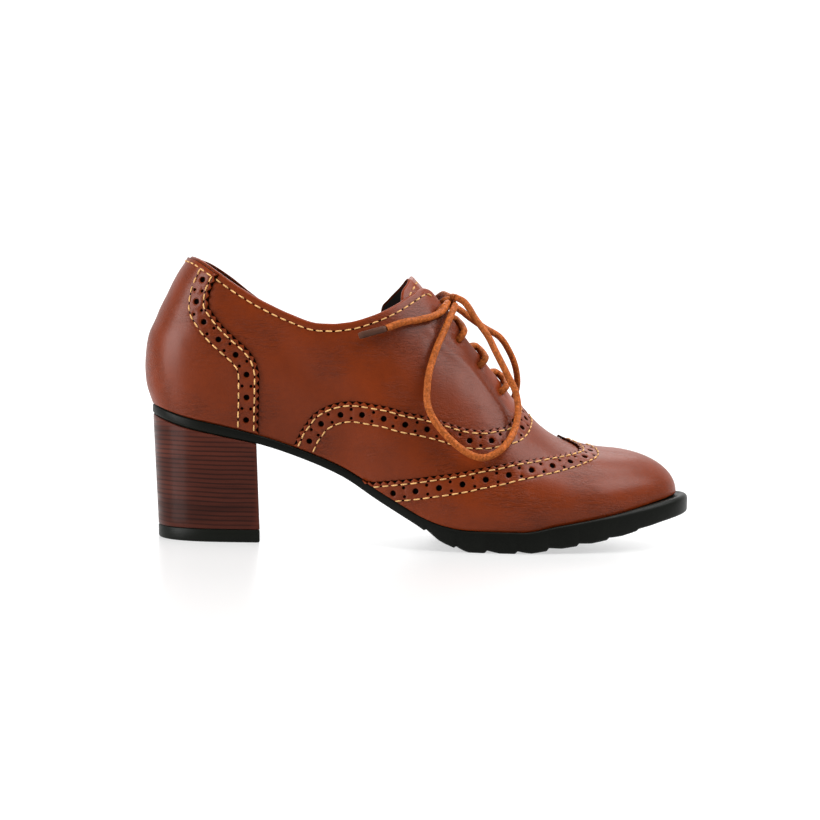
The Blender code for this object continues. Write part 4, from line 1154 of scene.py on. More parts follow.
def outline_places(shares, margin):
    """Plan points of the feather edge, moved out by a margin, on the outer side and the inner side."""
    rows = []
    for side in (-1, 1):
        distance = np.array([around(share, side) for share in shares])
        across = surface(distance + PROBE, 0.0) - surface(distance - PROBE, 0.0)
        out = np.stack([across[:, 1], -across[:, 0]], axis=1)
        out /= np.linalg.norm(out, axis=1, keepdims=True)
        rows.append(surface(distance, 0.0)[:, :2] + out * np.asarray(margin)[:, None])
    return rows


def ring(shares, margin, height):
    """A closed ring round the sole: the outer side from heel to toe and the inner side."""
    outer, inner = outline_places(shares, margin)
    height = np.broadcast_to(height, len(shares))
    return np.column_stack([outer, height]), np.column_stack([inner, height])


def stack_of_rings(name, rings):
    """A closed solid through rings, whose first and last are filled across in strips."""
    points, corners, starts = [], [], []
    count = len(rings[0][0])
    for outer, inner in rings:
        starts.append(len(points))
        points += [tuple(spot) for spot in outer] + [tuple(spot) for spot in inner]
    for a, b in zip(starts, starts[1:]):
        for i in range(count - 1):
            corners.append((a + i, b + i, b + i + 1, a + i + 1))
            corners.append((a + count + i, a + count + i + 1, b + count + i + 1, b + count + i))
        corners.append((a, a + count, b + count, b))
        corners.append((a + count - 1, b + count - 1, b + 2 * count - 1, a + 2 * count - 1))
    for start, (outer, inner) in ((starts[0], rings[0]), (starts[-1], rings[-1])):
        columns = [[start + i for i in range(count)]]
        for step in range(1, STRIPS_ACROSS):
            share = step / STRIPS_ACROSS
            columns.append([len(points) + i for i in range(count)])
            points += [tuple(spot) for spot in np.asarray(outer) * (1 - share) + np.asarray(inner) * share]
        columns.append([start + count + i for i in range(count)])
        for left, right in zip(columns, columns[1:]):
            corners += [(left[i], left[i + 1], right[i + 1], right[i]) for i in range(count - 1)]
    mesh = mesh_of(name, points, corners)
    work = bmesh.new()
    work.from_mesh(mesh)
    bmesh.ops.remove_doubles(work, verts=work.verts, dist=0.02 * MM)
    bmesh.ops.dissolve_degenerate(work, edges=work.edges, dist=0.01 * MM)
    bmesh.ops.recalc_face_normals(work, faces=work.faces)
    work.to_mesh(mesh)
    work.free()
    return mesh


def close_shares(last=1.0, step=0.0016):
    """Shares along the sole up to a last one, evenly apart round its outline."""
    shares = np.append(share_of(np.arange(0, SIDE_LENGTH, step)), 1.0)
    shares[0] = 0.0
    return shares[shares <= last]


def lug_rows():
    """Shares and groove depths of the tread: a steep step behind each lug and a slope back down."""
    pitch = (LUGS_END - LUGS_START) / (LUG_COUNT - 1)
    rows = []
    for i in range(LUG_COUNT):
        corner = LUGS_START + pitch * i
        depth = LUG_DEPTH * LUG_FADE[i]
        rows += [(corner - 0.0016, 0.0), (corner, 0.1 * depth)]
        rows.append((corner + 0.35 * LUG_STEP_SHARE * pitch, 0.45 * depth))
        rows.append((corner + LUG_STEP_SHARE * pitch, depth))
        for share in (0.25, 0.5, 0.75, 1.0):
            along = LUG_STEP_SHARE + (LUG_SLOPE_SHARE - LUG_STEP_SHARE) * share
            rows.append((corner + along * pitch, depth * (1 - share) ** 1.1))
    return rows


def make_sole_mesh():
    """The sole with its welt, the groove beside the upper, rounded edges and the stepped tread."""
    lugs = lug_rows()
    taken = np.array([share for share, _ in lugs])
    plain_shares = [share for share in close_shares() if np.min(abs(taken - share)) > 0.003]
    depth_at = np.array(lugs)
    rows = sorted([*lugs, *[(share, float(np.interp(share, *depth_at.T))) for share in plain_shares]])
    shares = np.array([share for share, _ in rows])
    groove = np.array([depth for _, depth in rows])
    margin = WELT_MARGIN * welt_share(shares)
    top = sole_top(shares)
    low = underside(shares) + groove
    bead = SOLE_BEAD * (1 + TOE_BEAD * np.clip((shares - 0.84) / 0.10, 0, 1))
    rings = [
        ring(shares, margin * 0 - 0.0030, top - 0.0001),
        ring(shares, margin * 0 + 0.0002, top - 0.0001),
        ring(shares, margin * 0.30, top - 0.0005 * margin / WELT_MARGIN),
        ring(shares, margin * 0.55, top - 0.0002 * margin / WELT_MARGIN),
    ]
    rings += [ring(shares, margin - inset * bead, top - drop * bead) for inset, drop in BEAD_PROFILE]
    rings += [ring(shares, margin - inset, low + rise) for inset, rise in TREAD_PROFILE]
    return smooth(stack_of_rings("sole", rings), 50)


def heel_ring(drop, inset, height):
    """A ring of the heel, drawn in as it goes down, with a flat breast and small round corners."""
    body = close_shares(HEEL_BREAST - 0.008, 0.0014)
    even = np.array([*body, HEEL_BREAST - 0.0035, HEEL_BREAST - 0.0012, HEEL_BREAST])
    corner = np.zeros(len(even))
    corner[-3:] = (0.0, 0.00022, 0.0008)
    sides = []
    for number, turn in enumerate((0.0, BREAST_TURN)):
        shares = even - turn / LAST_LENGTH * (even / HEEL_BREAST) ** BREAST_SHARE_POWER
        margin = WELT_MARGIN * welt_share(shares) - HEEL_TOP_INSET - inset - HEEL_TAPER * drop - corner
        level = np.broadcast_to(height(shares) if callable(height) else height, len(shares))
        row = ring(shares, margin, level)[number]
        breast = LAST_BACK + HEEL_BREAST * LAST_LENGTH + BREAST_RAKE * drop - inset - turn
        row[-1, 0] = breast
        row[-2, 0] = breast - 0.00025
        sides.append(row)
    return sides


def seat(shares):
    """Height of the heel's top, just under the sole."""
    return underside(shares) - SEAM


def make_heel_mesh():
    """The stacked heel, smooth from the seat down to the top lift."""
    rings = [heel_ring(0.0, 0.0003, seat)]
    for layer in range(HEEL_LAYERS + 1):
        drop = 0.008 + 0.985 * layer / HEEL_LAYERS
        rings.append(heel_ring(drop, 0.0, lambda s, drop=drop: seat(s) + (LIFT_HEIGHT - seat(s)) * drop))
    rings.append(heel_ring(1.0, 0.0002, lambda s: s * 0 + LIFT_HEIGHT))
    return smooth(stack_of_rings("heel", rings), 40)


def make_lift_mesh():
    """The top lift of black rubber that the heel walks on."""
    rings = [
        heel_ring(1.0, 0.0003, LIFT_HEIGHT - SEAM),
        heel_ring(1.0, 0.0, LIFT_HEIGHT - SEAM - 0.0004),
        heel_ring(LIFT_DROP, 0.0, LIFT_ROUND),
        heel_ring(LIFT_DROP, 0.00025, 0.00025),
        heel_ring(LIFT_DROP, LIFT_ROUND, 0.0),
    ]
    return smooth(stack_of_rings("top_lift", rings), 40)


def make_insole_mesh():
    """The padded sock lining inside the shoe."""
    shares = close_shares()
    foot = sole_top(shares) + SEAM
    inset = np.full(len(shares), -UPPER_WALL - INSOLE_CLEARANCE)
    rings = [
        ring(shares, inset, foot),
        ring(shares, inset, foot + 0.6 * INSOLE_WALL),
        ring(shares, inset - 0.0003, foot + 0.9 * INSOLE_WALL),
        ring(shares, inset - 0.0012, foot + INSOLE_WALL),
    ]
    return smooth(stack_of_rings("sock_lining", rings), 50)


def curve_through(points, step):
    """Points a step apart on a smooth curve through a route's own points, in metres."""
    spots = [Vector(point) for point in points]
    ends = [2 * spots[0] - spots[1], *spots, 2 * spots[-1] - spots[-2]]
    fine = []
    for a, b, c, d in zip(ends, ends[1:], ends[2:], ends[3:]):
        for i in range(12):
            t = i / 12
            fine.append(
                0.5 * (
                    2 * b + (c - a) * t + (2 * a - 5 * b + 4 * c - d) * t**2 + (3 * b - a - 3 * c + d) * t**3
                )
            )
    fine.append(spots[-1])
    line = np.array([tuple(spot) for spot in fine])
    run = run_of(line)
    at = np.linspace(0, run[-1], max(3, round(run[-1] / step)) + 1)
    return np.stack([np.interp(at, run, line[:, k]) for k in range(3)], axis=1)


def metres(route):
    """A route in millimetres, in metres."""
    return [tuple(part * MM for part in spot) for spot in route]


def round_cord(name, line, diameters):
    """A round cord along a line: a curve of one spline with closed ends."""
    curve = bpy.data.curves.new(name, "CURVE")
    curve.dimensions = "3D"
    curve.bevel_depth = 0.5
    curve.bevel_resolution = 5
    curve.use_fill_caps = True
    spline = curve.splines.new("POLY")
    spline.points.add(len(line) - 1)
    for point, spot, diameter in zip(spline.points, line, np.broadcast_to(diameters, len(line))):
        point.co = (*spot, 1)
        point.radius = diameter
    spline.use_smooth = True
    return curve


def joined_cords(name, lines):
    """Several cords as one mesh."""
    points, faces = [], []
    turn = np.linspace(0, 2 * math.pi, CORD_SIDES, endpoint=False)
    for line, diameter in lines:
        ahead = units(np.gradient(line, axis=0))
        across = np.zeros_like(line)
        axis = units(np.cross(ahead[0], (0.3, 0.5, 0.8)))
        for i, forward in enumerate(ahead):
            axis = units(axis - forward * (axis @ forward))
            across[i] = axis
        up = np.cross(ahead, across)
        rings = line[:, None] + diameter / 2 * (
            across[:, None] * np.cos(turn)[None, :, None] + up[:, None] * np.sin(turn)[None, :, None]
        )
        faces += tube_faces(len(points), len(line), CORD_SIDES)
        points += rings.reshape(-1, 3).tolist()
    return smooth(mesh_of(name, points, faces), 60)


def over(along, level, side, height):
    """A point at a height over the leather."""
    return sunk(np.array([float(around(along, side))]), np.array([level]), height)[0]


def strand(lower, upper, side):
    """One lace strand: out of its eyelet, up over its facing, across the tongue and under the other."""
    climb = upper.along - lower.along
    edge = float(facing_level(lower.along))
    stops = [
        (lower.along - 0.10 * climb, edge - 0.010, side, -0.0031),
        (lower.along - 0.04 * climb, lower.level + 0.018, side, -0.0030),
        (lower.along - 0.02 * climb, lower.level + 0.008, side, -0.0012),
        (lower.along - 0.04 * climb, lower.level + 0.020, side, 0.0012),
        (lower.along - 0.06 * climb, lower.level + 0.048, side, 0.0024),
        (lower.along - 0.04 * climb, edge + 0.012, side, 0.0022),
        (lower.along + 0.04 * climb, min(0.95, edge + 0.062), side, 0.0019),
        (lower.along + 0.18 * climb, 1.0, side, 0.0011),
        (lower.along + 0.31 * climb, 0.945, -side, 0.0004),
        (lower.along + 0.44 * climb, 0.880, -side, -0.0020),
        (lower.along + 0.58 * climb, 0.820, -side, -0.0034),
        (lower.along + 0.80 * climb, upper.level + 0.010, -side, -0.0031),
    ]
    return [over(*stop) for stop in stops]


def make_laces(shop, sizes):
    """The crossed strands, the knot, the two loops, the two ends and their tips."""
    lace = shop["lace"]
    thick = sizes.lace
    for number, (lower, upper) in enumerate(zip(EYELETS, EYELETS[1:]), start=1):
        lines = [(curve_through(strand(lower, upper, side), STRAND_STEP), thick) for side in (-1, 1)]
        name = f"crossed_lace_{number}"
        placed(name, joined_cords(name, lines), [lace], "lace", f"lace_cross_{number}")
    top = EYELETS[-1]
    risers = []
    for side in (-1, 1):
        stops = [
            over(top.along + 0.001, top.level + 0.004, side, -0.0019),
            over(top.along + 0.002, top.level + 0.020, side, 0.0014),
            over(top.along + 0.006, top.level + 0.065, side, 0.0024),
            (0.1016, 0.0058 * side, 0.1038),
            (0.1034, 0.0020 * side, 0.1050),
        ]
        risers.append((curve_through(stops, STRAND_STEP), thick))
    knot = [*risers, *[(curve_through(metres(route), WRAP_STEP), thick) for route in KNOT_WRAPS]]
    tied = placed("bow_knot", joined_cords("bow_knot", knot), [lace], "lace", "lace_knot")
    for name, route, solid in (
        ("bow_loop_near", NEAR_LOOP, "lace_loop_near"),
        ("bow_loop_far", FAR_LOOP, "lace_loop_far"),
    ):
        line = curve_through(metres(route), CORD_STEP)
        loop = placed(name, round_cord(name, line, thick), [lace], "lace", solid)
    for side, route, tip_route in (("near", NEAR_END, NEAR_TIP), ("far", FAR_END, FAR_TIP)):
        line = curve_through(metres(route), CORD_STEP)
        tip_line = curve_through(metres(tip_route), STRAND_STEP)
        share = np.linspace(0, 1, len(tip_line))
        shape = 1 - 0.12 * np.exp(-((share / 0.05) ** 2)) - 0.22 * np.exp(-(((1 - share) / 0.05) ** 2))
        name = f"lace_tip_{side}"
        tip_cord = round_cord(name, tip_line, AGLET_DIAMETER * shape)
        tip = placed(name, tip_cord, [shop["tip"]], "lace_tip", f"aglet_{side}")
        name = f"lace_tail_{side}"
        tail = placed(name, round_cord(name, line, thick), [lace], "lace", f"lace_end_{side}")


def fill(tree, socket, value):
    """Links a socket to another one, or gives it a value; a colour may come without its alpha."""
    if isinstance(value, bpy.types.NodeSocket):
        tree.links.new(value, socket)
    elif socket.type == "RGBA" and len(value) == 3:
        socket.default_value = (*value, 1)
    else:
        socket.default_value = value


def node(tree, kind, inputs=(), **settings):
    """A shader node with its settings, and its inputs given by name as values or sockets."""
    made = tree.nodes.new(kind)
    for key, value in settings.items():
        setattr(made, key, value)
    for key, value in dict(inputs).items():
        fill(tree, made.inputs[key], value)
    return made


def group(name, takes, gives):
    """An empty node group with its named sockets, and its two end nodes."""
    made = bpy.data.node_groups.new(name, "ShaderNodeTree")
    for label, kind, value in takes:
        socket = made.interface.new_socket(name=label, in_out="INPUT", socket_type=kind)
        socket.default_value = value
    for label, kind in gives:
        made.interface.new_socket(name=label, in_out="OUTPUT", socket_type=kind)
    return made, made.nodes.new("NodeGroupInput"), made.nodes.new("NodeGroupOutput")


FLOAT, COLOR = "NodeSocketFloat", "NodeSocketColor"
WHITE, BLACK = (1, 1, 1, 1), (0, 0, 0, 1)


def mixed(tree, share, first, second):
    """A mix of two colours."""
    made = node(tree, "ShaderNodeMix", data_type="RGBA")
    for number, value in ((0, share), (6, first), (7, second)):
        fill(tree, made.inputs[number], value)
    return made.outputs[2]


def ranged(tree, value, low, high, to_low=0.0, to_high=1.0):
    """A value brought from one range to another."""
    inputs = {"Value": value, "From Min": low, "From Max": high, "To Min": to_low, "To Max": to_high}
    return node(tree, "ShaderNodeMapRange", inputs).outputs["Result"]


def noise(tree, where, scale, detail=3.0, rough=0.55, distortion=0.0):
    """Noise of a size, at a point."""
    inputs = {"Vector": where, "Scale": scale, "Detail": detail, "Roughness": rough, "Distortion": distortion}
    return node(tree, "ShaderNodeTexNoise", inputs).outputs["Fac"]


def stretched(tree, where, scale, turn=(0.0, 0.0, 0.0)):
    """A point turned and scaled by axis, for marks that run one way."""
    inputs = {"Vector": where, "Rotation": turn, "Scale": scale}
    return node(tree, "ShaderNodeMapping", inputs).outputs["Vector"]


def cells(tree, where, scale):
    """Distance from the middles of small soft cells."""
    inputs = {"Vector": where, "Scale": scale}
    return node(tree, "ShaderNodeTexVoronoi", inputs, feature="SMOOTH_F1").outputs["Distance"]


def added(tree, first, second, operation="ADD"):
    """The sum of two values, or another operation on them."""
    made = node(tree, "ShaderNodeMath", operation=operation)
    for socket, value in zip(made.inputs, (first, second)):
        fill(tree, socket, value)
    return made.outputs[0]


def object_point(tree):
    """The shaded point in its object's own frame."""
    return node(tree, "ShaderNodeTexCoord").outputs["Object"]


def mottle_group():
    """Slow colour changes over a surface, with a finer fleck in them."""
    made, start, end = group(
        "mottle",
        [("Light", COLOR, WHITE), ("Dark", COLOR, BLACK), ("Scale", FLOAT, 20.0), ("Fleck", FLOAT, 0.2)],
        [("Color", COLOR), ("Mask", FLOAT)],
    )
    where = object_point(made)
    slow = noise(made, where, start.outputs["Scale"], 4.0, 0.6, 0.4)
    fine_scale = added(made, start.outputs["Scale"], 14.0, "MULTIPLY")
    fine = noise(made, where, fine_scale, 3.0, 0.6)
    mask = ranged(made, slow, 0.32, 0.68)
    fleck = added(made, ranged(made, fine, 0.35, 0.65, -0.5, 0.5), start.outputs["Fleck"], "MULTIPLY")
    mask = node(made, "ShaderNodeClamp", {"Value": added(made, mask, fleck)}).outputs["Result"]
    made.links.new(mixed(made, mask, start.outputs["Dark"], start.outputs["Light"]), end.inputs["Color"])
    made.links.new(mask, end.inputs["Mask"])
    return made


def grain_group():
    """Leather grain: fine pebbles, and wrinkles that come and go and run one way."""
    made, start, end = group(
        "leather grain",
        [("Pebble", FLOAT, 0.4), ("Wrinkle", FLOAT, 0.6), ("Pebble Scale", FLOAT, 1600.0)],
        [("Height", FLOAT), ("Wrinkles", FLOAT)],
    )
    where = object_point(made)
    pebble = cells(made, where, start.outputs["Pebble Scale"])
    turned = stretched(made, where, (150.0, 260.0, 620.0), (0.0, 0.50, 0.0))
    lines = noise(made, turned, 1.0, 3.0, 0.62, 0.9)
    ridged = added(made, added(made, lines, 0.5, "SUBTRACT"), 0.0, "ABSOLUTE")
    patches = ranged(made, noise(made, where, 38.0, 2.0), 0.44, 0.64)
    wrinkle = added(made, ranged(made, ridged, 0.0, 0.10), patches, "MULTIPLY")
    wrinkle = added(made, wrinkle, start.outputs["Wrinkle"], "MULTIPLY")
    made.links.new(
        added(made, added(made, pebble, start.outputs["Pebble"], "MULTIPLY"), wrinkle), end.inputs["Height"]
    )
    made.links.new(wrinkle, end.inputs["Wrinkles"])
    return made


def edge_and_hollow_group():
    """Raised edges made lighter and hollows darker, from the shape itself; the darker hollows are painted
    shade.
    """
    made, start, end = group(
        "rub", [("Color", COLOR, WHITE), ("Edge", COLOR, WHITE), ("Hollow", COLOR, BLACK)], [("Color", COLOR)]
    )
    point = node(made, "ShaderNodeNewGeometry").outputs["Pointiness"]
    high = ranged(made, point, 0.515, 0.56, 0.0, 0.5)
    low = ranged(made, point, 0.485, 0.42, 0.0, 0.75)
    edged = mixed(made, high, start.outputs["Color"], start.outputs["Edge"])
    made.links.new(mixed(made, low, edged, start.outputs["Hollow"]), end.inputs["Color"])
    return made


def material(name, roughness, coat=0.0, coat_roughness=0.2, specular=0.5, sheen=0.0):
    """A material with its plain values set on the shader, and its tree."""
    made = bpy.data.materials.new(name)
    made.use_nodes = True
    shader = made.node_tree.nodes["Principled BSDF"]
    for key, value in (
        ("Roughness", roughness),
        ("Coat Weight", coat),
        ("Coat Roughness", coat_roughness),
        ("Specular IOR Level", specular),
        ("Sheen Weight", sheen),
    ):
        shader.inputs[key].default_value = value
    return made, made.node_tree, shader


def shade(color, factor):
    """A colour made darker or lighter."""
    return tuple(min(1.0, part * factor) for part in color)


def placed_group(tree, name, **values):
    """A node of a shared group, with its inputs given by name."""
    made = tree.nodes.new("ShaderNodeGroup")
    made.node_tree = bpy.data.node_groups[name]
    for key, value in values.items():
        fill(tree, made.inputs[key.replace("_", " ")], value)
    return made


def mottled(tree, light, dark, scale, fleck):
    """The shared slow colour changes between a light colour and a dark one."""
    return placed_group(tree, "mottle", Light=light, Dark=dark, Scale=scale, Fleck=fleck)


def edged_and_shaded(tree, base, edge, hollow):
    """The shared lighter edges and painted hollow shade, from a colour over to a lighter edge and a darker
    hollow.
    """
    return placed_group(tree, "rub", Color=base, Edge=edge, Hollow=hollow).outputs["Color"]


def bumped(tree, shader, height, distance, strength=1.0):
    """Gives a shader its fine relief."""
    bump = node(tree, "ShaderNodeBump", {"Height": height, "Distance": distance, "Strength": strength})
    tree.links.new(bump.outputs["Normal"], shader.inputs["Normal"])


def leather(name, color, wrinkle=0.85, pebble=0.40):
    """Smooth waxed leather with fine grain, lighter edges, painted shade in its hollows and wrinkles, and
    slow changes of colour.
    """
    made, tree, shader = material(name, 0.42, coat=0.22, coat_roughness=0.30, specular=0.06)
    base = mottled(tree, shade(color, 1.12), shade(color, 0.80), 26.0, 0.25)
    # Raised edges lighter, hollows darkened with painted shade
    edged = edged_and_shaded(tree, base.outputs["Color"], shade(color, 1.5), shade(color, 0.45))
    grain = placed_group(tree, "leather grain", Pebble=pebble, Wrinkle=wrinkle)
    # Painted shade: the leather darkened in the wrinkles of its grain
    folds = ranged(tree, grain.outputs["Wrinkles"], 0.0, 1.0, 0.0, 0.25)
    darker = mixed(tree, folds, edged, shade(color, 0.55))
    tree.links.new(darker, shader.inputs["Base Color"])
    tree.links.new(ranged(tree, base.outputs["Mask"], 0.0, 1.0, 0.46, 0.34), shader.inputs["Roughness"])
    bumped(tree, shader, grain.outputs["Height"], 0.00028, 1.0)
    return made


def cut_edge_and_shade(name, color):
    """A near-black mottled finish: the raw edge of a sheet of leather, darker than its grain side and
    darkened further as painted shade in the holes and along the teeth; also the painted shade of needle holes
    and dark strips.
    """
    made, tree, shader = material(name, 0.80, specular=0.02)
    base = mottled(tree, shade(color, 0.40), shade(color, 0.14), 300.0, 0.6)
    tree.links.new(base.outputs["Color"], shader.inputs["Base Color"])
    bumped(tree, shader, base.outputs["Mask"], 0.0001, 0.6)
    return made


def lining(name, color):
    """A dull lining."""
    made, tree, shader = material(name, 0.72, specular=0.08)
    base = mottled(tree, shade(color, 1.3), shade(color, 0.7), 60.0, 0.4)
    grain = placed_group(tree, "leather grain", Pebble=0.6, Wrinkle=0.3, Pebble_Scale=1100.0)
    tree.links.new(base.outputs["Color"], shader.inputs["Base Color"])
    bumped(tree, shader, grain.outputs["Height"], 0.00015, 0.7)
    return made


def thread(name, color):
    """Waxed twisted thread."""
    made, tree, shader = material(name, 0.55, specular=0.15)
    base = mottled(tree, color, shade(color, 0.62), 420.0, 0.5)
    where = object_point(tree)
    inputs = {"Vector": where, "Scale": 900.0, "Distortion": 2.0}
    twist = node(tree, "ShaderNodeTexWave", inputs, bands_direction="DIAGONAL").outputs["Fac"]
    tree.links.new(
        mixed(tree, ranged(tree, twist, 0.0, 0.5, 0.35, 0.0), base.outputs["Color"], shade(color, 0.45)),
        shader.inputs["Base Color"],
    )
    bumped(tree, shader, twist, 0.00008, 0.8)
    return made


def rubber(name, color, shine=0.42):
    """Rubber, or hard plastic where it shines more."""
    made, tree, shader = material(name, shine, coat=0.02, coat_roughness=0.35, specular=0.07)
    base = mottled(tree, shade(color, 1.35), shade(color, 0.75), 40.0, 0.35)
    where = object_point(tree)
    fine = noise(tree, where, 1500.0, 3.0)
    # Raised edges lighter, hollows darkened with painted shade
    edged = edged_and_shaded(tree, base.outputs["Color"], shade(color, 3.0), shade(color, 0.5))
    tree.links.new(edged, shader.inputs["Base Color"])
    shines = ranged(tree, base.outputs["Mask"], 0.0, 1.0, shine + 0.08, shine - 0.06)
    tree.links.new(shines, shader.inputs["Roughness"])
    bumped(tree, shader, fine, 0.00006, 0.5)
    return made


def stacked(name, color):
    """Leather lifts stacked into a heel and polished."""
    made, tree, shader = material(name, 0.36, coat=0.12, coat_roughness=0.20, specular=0.05)
    where = object_point(tree)
    streak = noise(tree, stretched(tree, where, (14.0, 14.0, 230.0)), 1.0, 4.0, 0.60, 0.5)
    layers = node(
        tree,
        "ShaderNodeTexWave",
        {"Vector": where, "Scale": 160.0, "Distortion": 3.6, "Detail": 2.0, "Detail Scale": 0.16},
        bands_direction="Z",
    ).outputs["Fac"]
    broad = noise(tree, stretched(tree, where, (10.0, 10.0, 90.0)), 1.0, 3.0, 0.6, 0.6)
    base = mixed(tree, ranged(tree, broad, 0.35, 0.65), shade(color, 0.62), shade(color, 1.25))
    dark = ranged(tree, streak, 0.52, 0.66, 0.0, 0.55)
    streaked = mixed(tree, dark, base, shade(color, 0.30))
    streaked = mixed(tree, ranged(tree, layers, 0.0, 0.50, 0.80, 0.0), streaked, shade(color, 0.22))
    # Raised edges lighter, hollows darkened with painted shade
    edged = edged_and_shaded(tree, streaked, shade(color, 1.6), shade(color, 0.3))
    tree.links.new(edged, shader.inputs["Base Color"])
    tree.links.new(ranged(tree, streak, 0.4, 0.7, 0.28, 0.50), shader.inputs["Roughness"])
    bumped(tree, shader, streak, 0.00008, 0.5)
    return made


def waxed_lace(name, color):
    """A round woven lace with a little wax on it."""
    made, tree, shader = material(name, 0.55, coat=0.03, coat_roughness=0.3, specular=0.05)
    base = mottled(tree, shade(color, 1.25), shade(color, 0.65), 420.0, 0.55)
    where = object_point(tree)
    weave = cells(tree, where, 1250.0)
    tree.links.new(
        mixed(tree, ranged(tree, weave, 0.25, 0.60, 0.0, 0.65), base.outputs["Color"], shade(color, 0.40)),
        shader.inputs["Base Color"],
    )
    tree.links.new(ranged(tree, base.outputs["Mask"], 0.0, 1.0, 0.58, 0.42), shader.inputs["Roughness"])
    bumped(tree, shader, weave, 0.00035, 0.9)
    return made


def floor_paint(name, color, glow):
    """A pale floor or wall with a glow of its own."""
    made, tree, shader = material(name, 0.30)
    base = mottled(tree, color, shade(color, 0.985), 2.0, 0.1)
    tree.links.new(base.outputs["Color"], shader.inputs["Base Color"])
    shader.inputs["Emission Color"].default_value = WHITE
    shader.inputs["Emission Strength"].default_value = glow
    return made


def color_property(name, color, text):
    """A colour of the add-on's settings."""
    return FloatVectorProperty(
        name=name, description=text, subtype="COLOR", size=3, min=0, max=1, default=color
    )


class ShoeSizes(bpy.types.PropertyGroup):
    """The size of the laces."""

    lace: FloatProperty(
        name="Lace", description="Diameter of the round lace", default=LACE_DIAMETER,
        subtype="DISTANCE", unit="LENGTH",
    )


class ShoeColors(bpy.types.PropertyGroup):
    """Colours of the shoe's finishes, as linear light."""

    leather: color_property("Leather", (0.140, 0.0200, 0.0024), "Tan leather of the upper")
    lining: color_property("Lining", (0.010, 0.008, 0.007), "Lining and tongue back")
    thread: color_property("Thread", (0.800, 0.450, 0.170), "Waxed thread of the seams")
    rubber: color_property("Rubber", (0.0030, 0.0034, 0.0026), "Sole and top lift")
    heel: color_property("Heel", (0.056, 0.0120, 0.0065), "Stacked heel")
    lace: color_property("Lace", (0.385, 0.098, 0.021), "Round waxed lace")
    tip: color_property("Tip", (0.040, 0.018, 0.012), "Lace tips")
    floor: color_property("Floor", (0.250, 0.250, 0.248), "Studio floor")


def colors():
    """The colours set for the shoe."""
    return bpy.context.scene.shoe_colors


def sizes():
    """The sizes set for the shoe."""
    return bpy.context.scene.shoe_sizes


def finish(name, make, color, **more):
    """The material of a name, made once."""
    return bpy.data.materials.get(name) or make(name, tuple(color), **more)


def leathers():
    """Leather, cut edge, lining and painted dark shade, in the order that every sheet uses them."""
    color = colors()
    return [
        finish("tan leather", leather, color.leather),
        # Cut edges: their own darker colour, deepened with painted shade of the holes and teeth
        finish("cut leather edge", cut_edge_and_shade, color.leather),
        finish("dark lining", lining, color.lining),
        # Near-black painted shade under the holes, the teeth and the eyelets
        finish("dark backing", cut_edge_and_shade, shade(color.lining, 0.3)),
    ]


class SHOE_OT_finishes(bpy.types.Operator):
    """Builds the shared shader groups"""

    bl_idname = "shoe.finishes"
    bl_label = "Shader groups"

    def execute(self, context):
        mottle_group()
        grain_group()
        edge_and_hollow_group()
        return {"FINISHED"}


class SHOE_OT_upper(bpy.types.Operator):
    """Builds the quarters, counter, vamp, wing cap and tongue"""

    bl_idname = "shoe.upper"
    bl_label = "Upper"

    def execute(self, context):
        skins = leathers()
        placed("quarters", make_quarters(), skins, "leather", "upper")
        placed("counter", make_counter(), skins, "leather", "counter_overlay")
        vamp = make_front("vamp", VAMP_ROWS, OVER_QUARTER, 0.0)
        placed("vamp", vamp, skins, "leather", "vamp_overlay")
        wing = make_front("wing_tip", WING_ROWS, OVER_VAMP, OVER_QUARTER)
        placed("wing_tip", wing, skins, "leather", "wing_cap")
        placed("tongue_leather", make_tongue_mesh(), skins, "leather", "tongue")
        return {"FINISHED"}


class SHOE_OT_seams(bpy.types.Operator):
    """Sews the rows of stitches along every edge"""

    bl_idname = "shoe.seams"
    bl_label = "Seams"

    def execute(self, context):
        rows = tongue_seams()
        for side in (-1, 1):
            rows += topline_seams(side) + counter_seams(side)
            for edge, height in ((VAMP_ROWS, OVER_QUARTER), (WING_ROWS, OVER_VAMP)):
                line = drawn(edge, side, 1)
                rows += [(line.beside(FIRST_ROW), height), (line.beside(FIRST_ROW + BAND_WIDTH), height)]
        color = colors()
        skins = [
            finish("waxed thread", thread, color.thread),
            # Painted shade of the needle holes
            finish("needle hole", cut_edge_and_shade, shade(color.leather, 0.1)),
        ]
        placed("seams", stitches(rows), skins, "leather")
        return {"FINISHED"}


class SHOE_OT_sole(bpy.types.Operator):
    """Builds the sole with its welt and tread, the stacked heel, the top lift and the sock lining"""

    bl_idname = "shoe.sole"
    bl_label = "Sole and heel"

    def execute(self, context):
        color = colors()
        black = finish("black rubber", rubber, color.rubber)
        placed("sole", make_sole_mesh(), [black], "sole_rubber", "outsole")
        placed("top_lift", make_lift_mesh(), [black], "sole_rubber", "heel_lift")
        stack = finish("stacked leather", stacked, color.heel)
        placed("heel", make_heel_mesh(), [stack], "stacked_heel", "heel_block")
        sock = finish("sock lining", lining, shade(color.leather, 0.4))
        placed("sock_lining", make_insole_mesh(), [sock], "lining", "insole")
        return {"FINISHED"}


class SHOE_OT_laces(bpy.types.Operator):
    """Laces the shoe and ties its bow"""

    bl_idname = "shoe.laces"
    bl_label = "Laces"

    def execute(self, context):
        color = colors()
        shop = {
            "lace": finish("waxed lace", waxed_lace, color.lace),
            "tip": finish("lace tip", rubber, color.tip, shine=0.28),
        }
        make_laces(shop, sizes())
        return {"FINISHED"}


class SHOE_OT_stage(bpy.types.Operator):
    """Sets the floor, the soft lights and the camera"""

    bl_idname = "shoe.stage"
    bl_label = "Stage"

    def execute(self, context):
        make_floor()
        make_lights()
        make_camera()
        return {"FINISHED"}


